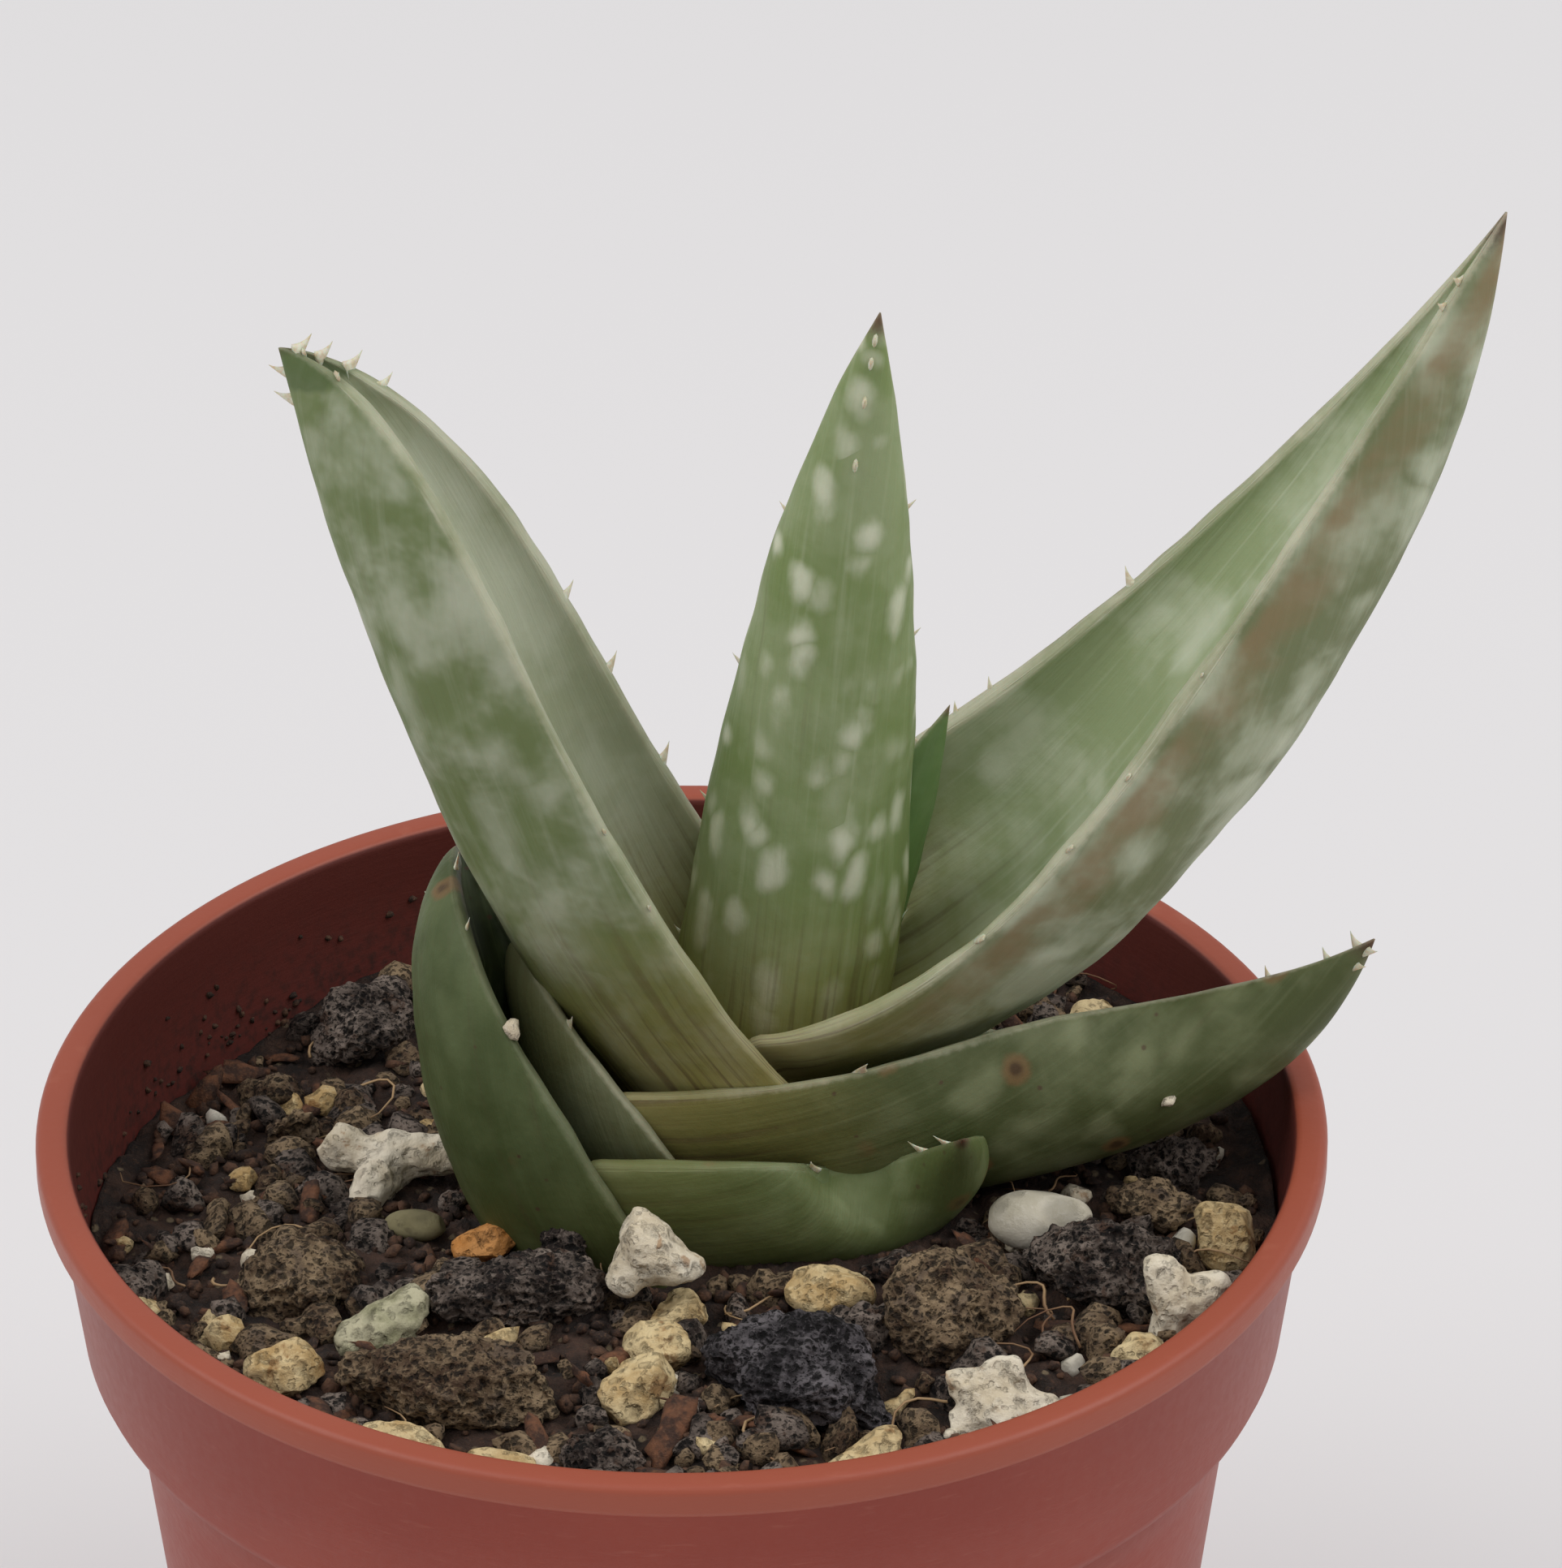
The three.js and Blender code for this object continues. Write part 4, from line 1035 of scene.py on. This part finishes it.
def stone_material(name, body, light, stain, stained, pit_scale, pit_dark, relief_depth):
    """stained is the share under stains, and pit_scale the number of pits in a millimetre."""
    paint = Paint(name, Specular_IOR_Level=0.25)
    place = paint.object_mm()
    cloud = paint.noise(place, 0.35, 4, 0.6)
    fine = paint.noise(place, 2.6, 4, 0.75)
    stains = paint.noise(place, 0.6, 4, 0.65, 0.4)
    shift = paint.join(fine, cloud, stains)
    warp = paint.node("ShaderNodeVectorMath", {"operation": "ADD"}, {0: place, 1: shift})
    pit = paint.ramp(paint.cells(warp, pit_scale), 0.46, 0.2)
    speck = paint.ramp(paint.cells(warp, pit_scale * 2.1), 0.42, 0.15)
    rock = paint.mix(paint.ramp(cloud, 0.35, 0.65), body, light)
    # The lighter colour on the raised grain is a painted highlight.
    rock = paint.mix(paint.ramp(fine, 0.48, 0.7) * 0.7, rock, light)
    rock = paint.mix(paint.ramp(stains, 1 - stained, 1.1 - stained) * 0.75, rock, stain)
    # Pits and finer specks are painted dark: painted shade in the hollows.
    rock = paint.mix(pit * pit_dark, rock, PIT_SHADE)
    rock = paint.mix(speck * pit_dark * 0.8, rock, PIT_SHADE)
    paint.put("Base Color", rock)
    paint.put("Roughness", 0.8 + fine * 0.15)
    paint.bump(fine * 0.7 + cloud * 0.4 - pit * 0.8 - speck * 0.5, relief_depth)
    return paint.material


ROCK = {
    "pebble": stone_material(
        "pebble", rgb(198, 190, 170), rgb(220, 213, 198), rgb(150, 138, 114),
        stained=0.36, pit_scale=0.35, pit_dark=0.3, relief_depth=0.1),
    "pumice": stone_material(
        "pumice", rgb(214, 199, 172), rgb(240, 229, 208), rgb(172, 134, 98),
        stained=0.4, pit_scale=0.9, pit_dark=0.12, relief_depth=0.2),
    "yellow": stone_material(
        "yellow clay", rgb(188, 156, 106), rgb(228, 206, 160), rgb(140, 98, 56),
        stained=0.42, pit_scale=1.0, pit_dark=0.2, relief_depth=0.25),
    "lava": stone_material(
        "dark lava", rgb(44, 35, 32), rgb(140, 126, 116), rgb(78, 56, 44),
        stained=0.46, pit_scale=2.2, pit_dark=0.95, relief_depth=0.4),
    "brown": stone_material(
        "brown lava", rgb(76, 57, 43), rgb(154, 132, 104), rgb(110, 94, 80),
        stained=0.46, pit_scale=2.0, pit_dark=0.75, relief_depth=0.4),
}
OWN_ROCK = {
    "stone_black": stone_material(
        "black lava", rgb(26, 23, 25), rgb(116, 110, 113), rgb(44, 38, 38),
        stained=0.4, pit_scale=2.0, pit_dark=0.95, relief_depth=0.45),
    "stone_orange": stone_material(
        "orange clay", rgb(196, 128, 60), rgb(222, 160, 98), rgb(120, 70, 38),
        stained=0.4, pit_scale=1.1, pit_dark=0.25, relief_depth=0.2),
    "stone_grey_green": stone_material(
        "green pebble", rgb(118, 110, 80), rgb(138, 130, 98), rgb(84, 76, 58),
        stained=0.4, pit_scale=0.5, pit_dark=0.2, relief_depth=0.05),
    "stone_pumice_green": stone_material(
        "greenish pumice", rgb(146, 144, 112), rgb(196, 190, 160), rgb(112, 108, 80),
        stained=0.44, pit_scale=0.9, pit_dark=0.2, relief_depth=0.2),
}

# %% Build the large stones
BIG = 5.5
stone_trees = []
for index, (name, (kind, at, size, turn, rise)) in enumerate(STONES.items()):
    seed = STONE_SEED + SEED_STEP * index
    mesh = stone_mesh(kind, size, stone_form(name, kind, seed), seed, 6 if max(size) > BIG else 5)
    place = Matrix.Translation((*at, soil_height(*at) + rise)) @ Matrix.Rotation(math.radians(turn), 4, "Z")
    bmesh.ops.transform(mesh, matrix=place, verts=mesh.verts)
    stone = to_object(name + "_rock", mesh, OWN_ROCK.get(name, ROCK[kind]))
    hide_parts(name)
    stone_trees.append(BVHTree.FromObject(stone, bpy.context.evaluated_depsgraph_get()))

# %% [markdown]
# ## Small stones, crumbs and fibres
# Between the large stones lie hundreds of grains. Each is a ball of a few dozen faces, pushed out
# of round by noise. A grain is dropped only where it is clear of the leaves.

# %% Strew grains
GRAIN_CHIPS = (5, 0.45)


def clear(spot, room, trees):
    """True where a ball of this radius, in millimetres, touches none of the pieces."""
    return all(tree.find_nearest(spot * MM, room * MM)[0] is None for tree in trees)


def drop_spot(draws):
    """A place on the soil's disc, drawn evenly over its area."""
    radius = (SOIL_EDGE - 1.2) * math.sqrt(draws.random())
    angle = draws.uniform(0, math.tau)
    return radius * math.cos(angle), radius * math.sin(angle)


def add_grain(mesh, centre, size, draws, subdivisions, rough):
    """Adds one small irregular stone."""
    turn = Euler((draws.gauss(0, 0.5), draws.gauss(0, 0.5), draws.uniform(0, math.tau)))
    place = Matrix.Translation(centre) @ turn.to_matrix().to_4x4() @ Matrix.Diagonal((*size, 1))
    verts = bmesh.ops.create_icosphere(mesh, subdivisions=subdivisions, radius=1)["verts"]
    chip(verts, draws, *GRAIN_CHIPS)
    bmesh.ops.transform(mesh, matrix=place, verts=verts)
    reach = sum(size) / 3
    for vert in verts:
        vert.co += (vert.co - centre) * rough * noise.noise(vert.co / reach)


def strew(name, count, radii, sink, material, seed, subdivisions=2, shape=(1, 0.9, 0.75), rough=0.5):
    """Strews grains of one kind over the soil in one piece."""
    draws = random.Random(seed)
    mesh = bmesh.new()
    for _ in range(count):
        x, y = drop_spot(draws)
        radius = draws.uniform(*radii)
        centre = Vector((x, y, soil_top(x, y) + radius * sink))
        size = [radius * draws.uniform(0.8, 1.25) * stretch for stretch in shape]
        if clear(centre, radius * 1.2, leaf_trees) and clear(centre, radius * 0.5, stone_trees):
            add_grain(mesh, centre, size, draws, subdivisions, rough)
    grains = to_object(name, mesh, material)


strew("grains_lava", 420, (0.5, 1.5), 0.35, ROCK["lava"], 21)
strew("grains_brown", 420, (0.5, 1.5), 0.3, ROCK["brown"], 22)
strew("grains_yellow", 90, (0.4, 1.2), 0.4, ROCK["yellow"], 23)
strew("grains_pumice", 60, (0.35, 1.1), 0.4, ROCK["pumice"], 24)
strew("grains_pebble", 24, (0.4, 0.9), 0.4, ROCK["pebble"], 25)

# %% Crumbs and bark
def crumb_material(name, dark, light):
    paint = Paint(name)
    place = paint.object_mm()
    tint = paint.noise(place, 0.8, 3, 0.7)
    fine = paint.noise(place, 5.0, 3, 0.7)
    colour = paint.mix(paint.ramp(tint, 0.4, 0.65), dark, light)
    paint.put("Base Color", paint.mix(paint.ramp(fine, 0.5, 0.8) * 0.5, colour, rgb(132, 100, 76)))
    paint.put("Roughness", 0.8 + fine * 0.15)
    paint.bump(fine, 0.12)
    return paint.material


crumbs = crumb_material("peat crumbs", rgb(44, 30, 24), rgb(98, 68, 50))
bark = crumb_material("bark", rgb(58, 36, 26), rgb(118, 76, 51))
strew("peat_crumbs", 2200, (0.18, 0.55), 0.4, crumbs, 26, 1, (1.2, 0.9, 0.8), 0.7)
strew("bark_chips", 170, (0.8, 1.7), 0.35, bark, 27, 2, (1.3, 0.45, 0.18), 0.9)

# %% [markdown]
# Watering has splashed peat onto the wall inside the rim. The crumbs sit in patches round the back
# left, where the soil has sunk, and thin out upwards.

# %% Crumbs on the wall
SPLASH = {"count": 420, "toward": 160, "spread": 38, "low": 45.5, "reach": 6, "radii": (0.12, 0.34)}


def wall_radius(height):
    """Inner radius of the collar at a height."""
    share = (height - COLLAR_FOOT) / (LIP_FOOT - COLLAR_FOOT)
    return POT["collar_bottom"] + share * (POT["collar_top"] - POT["collar_bottom"]) - POT["wall"]


draws = random.Random(41)
mesh = bmesh.new()
for _ in range(SPLASH["count"]):
    angle = draws.gauss(math.radians(SPLASH["toward"]), math.radians(SPLASH["spread"]))
    height = SPLASH["low"] + SPLASH["reach"] * draws.random() ** 2
    patch = noise.noise(Vector((angle * 3, height * 0.25, 5)))
    radius = wall_radius(height)
    if patch > -0.05:
        size = draws.uniform(*SPLASH["radii"])
        centre = Vector((math.cos(angle) * radius, math.sin(angle) * radius, height))
        add_grain(mesh, centre, [size, size * 0.8, size * 0.7], draws, 1, 0.6)
wall_crumbs = to_object("wall_crumbs", mesh, crumbs)

# %% [markdown]
# Two white grains have been splashed onto the leaves, where they stick to the wet skin.

# %% Grains on the leaves
STUCK = [((-8.45, -3.9, 62.75), (0.65, 0.5, 0.45)), ((24.45, -1.05, 56.2), (0.4, 0.3, 0.45))]
mesh = bmesh.new()
for centre, size in STUCK:
    add_grain(mesh, Vector(centre), size, draws, 2, 0.4)
stuck = to_object("grains_on_leaves", mesh, ROCK["pumice"])

# %% [markdown]
# Coir fibres are hair-thin curls. Each is wrapped as a four-sided tube along a bent path that is
# drawn from a seed and kept just above the soil.

# %% Fibres
FIBRE = {
    "count": 64, "edge": 29.3, "length": (2, 7), "bend": (-1.5, 1.5), "radius": (0.05, 0.11),
    "rise": (0, 1.2), "above_soil": 0.5,
}


def add_fibre(mesh, start, heading, length, bend, radius, rise):
    """Adds one curled fibre that lies on the soil."""
    def spine(run):
        angle = heading + bend * run + 0.5 * math.sin(run * 5 + heading)
        reach = length * run
        x = start[0] + reach * math.cos(angle)
        y = start[1] + reach * math.sin(angle)
        inward = min(1, FIBRE["edge"] / math.hypot(x, y))
        lift = FIBRE["above_soil"] + rise * math.sin(math.pi * run)
        return Vector((x * inward, y * inward, soil_height(x, y) + lift))

    def place(_, turn, run):
        ahead = (spine(min(1, run + 0.01)) - spine(run - 0.01)).normalized()
        side = ahead.cross(Vector((0, 0, 1))).normalized()
        angle = math.tau * turn
        thick = radius * (1 - 0.5 * run)
        return spine(run) + (side * math.cos(angle) + side.cross(ahead) * math.sin(angle)) * thick

    wrap(mesh, 4, 10, place)


def fibre_material():
    paint = Paint("coir fibre")
    tint = paint.noise(paint.object_mm(), 0.2, 2)
    paint.put("Base Color", paint.mix(paint.ramp(tint, 0.35, 0.65), rgb(112, 78, 54), rgb(184, 152, 112)))
    paint.put("Roughness", 0.6 + tint * 0.2)
    return paint.material


draws = random.Random(31)
mesh = bmesh.new()
for _ in range(FIBRE["count"]):
    spot = drop_spot(draws)
    length = draws.uniform(*FIBRE["length"])
    heading = draws.uniform(0, math.tau)
    bend = draws.uniform(*FIBRE["bend"])
    radius = draws.uniform(*FIBRE["radius"])
    add_fibre(mesh, spot, heading, length, bend, radius, draws.uniform(*FIBRE["rise"]))
fibres = to_object("coir_fibres", mesh, fibre_material())

# %% [markdown]
# ## Stage and light
# The object was photographed on plain pale paper under soft, even light. A wide floor and a bright
# world give that, and a large soft lamp on either side adds gentle shading.

# %% Floor
FLOOR_REACH = 2
mesh = bmesh.new()
bmesh.ops.create_grid(mesh, x_segments=1, y_segments=1, size=FLOOR_REACH)
floor_data = bpy.data.meshes.new("floor")
mesh.to_mesh(floor_data)
mesh.free()
floor = bpy.data.objects.new("floor", floor_data)
bpy.context.scene.collection.objects.link(floor)
floor_paint = Paint("pale paper", Base_Color=rgb(232, 230, 231), Roughness=0.9, Specular_IOR_Level=0.1)
floor_data.materials.append(floor_paint.material)

# %% Lamps and world
WORLD_LIGHT = 0.45
LAMPS_AIM = Vector((0, 0, 0.06))


def soft_lamp(name, place, power, size):
    """A square lamp that faces the pot, placed in metres."""
    data = bpy.data.lights.new(name, "AREA")
    data.energy = power
    data.size = size
    lamp = bpy.data.objects.new(name, data)
    lamp.location = place
    lamp.rotation_euler = (LAMPS_AIM - Vector(place)).to_track_quat("-Z", "Y").to_euler()
    bpy.context.scene.collection.objects.link(lamp)


soft_lamp("left", (-0.65, -0.08, 0.85), 4.4, 0.8)
soft_lamp("right", (0.65, -0.08, 0.85), 4.6, 0.8)
world = bpy.data.worlds.new("soft studio")
world.use_nodes = True
world.node_tree.nodes["Background"].inputs["Color"].default_value = (1, 1, 1, 1)
world.node_tree.nodes["Background"].inputs["Strength"].default_value = WORLD_LIGHT
bpy.context.scene.world = world
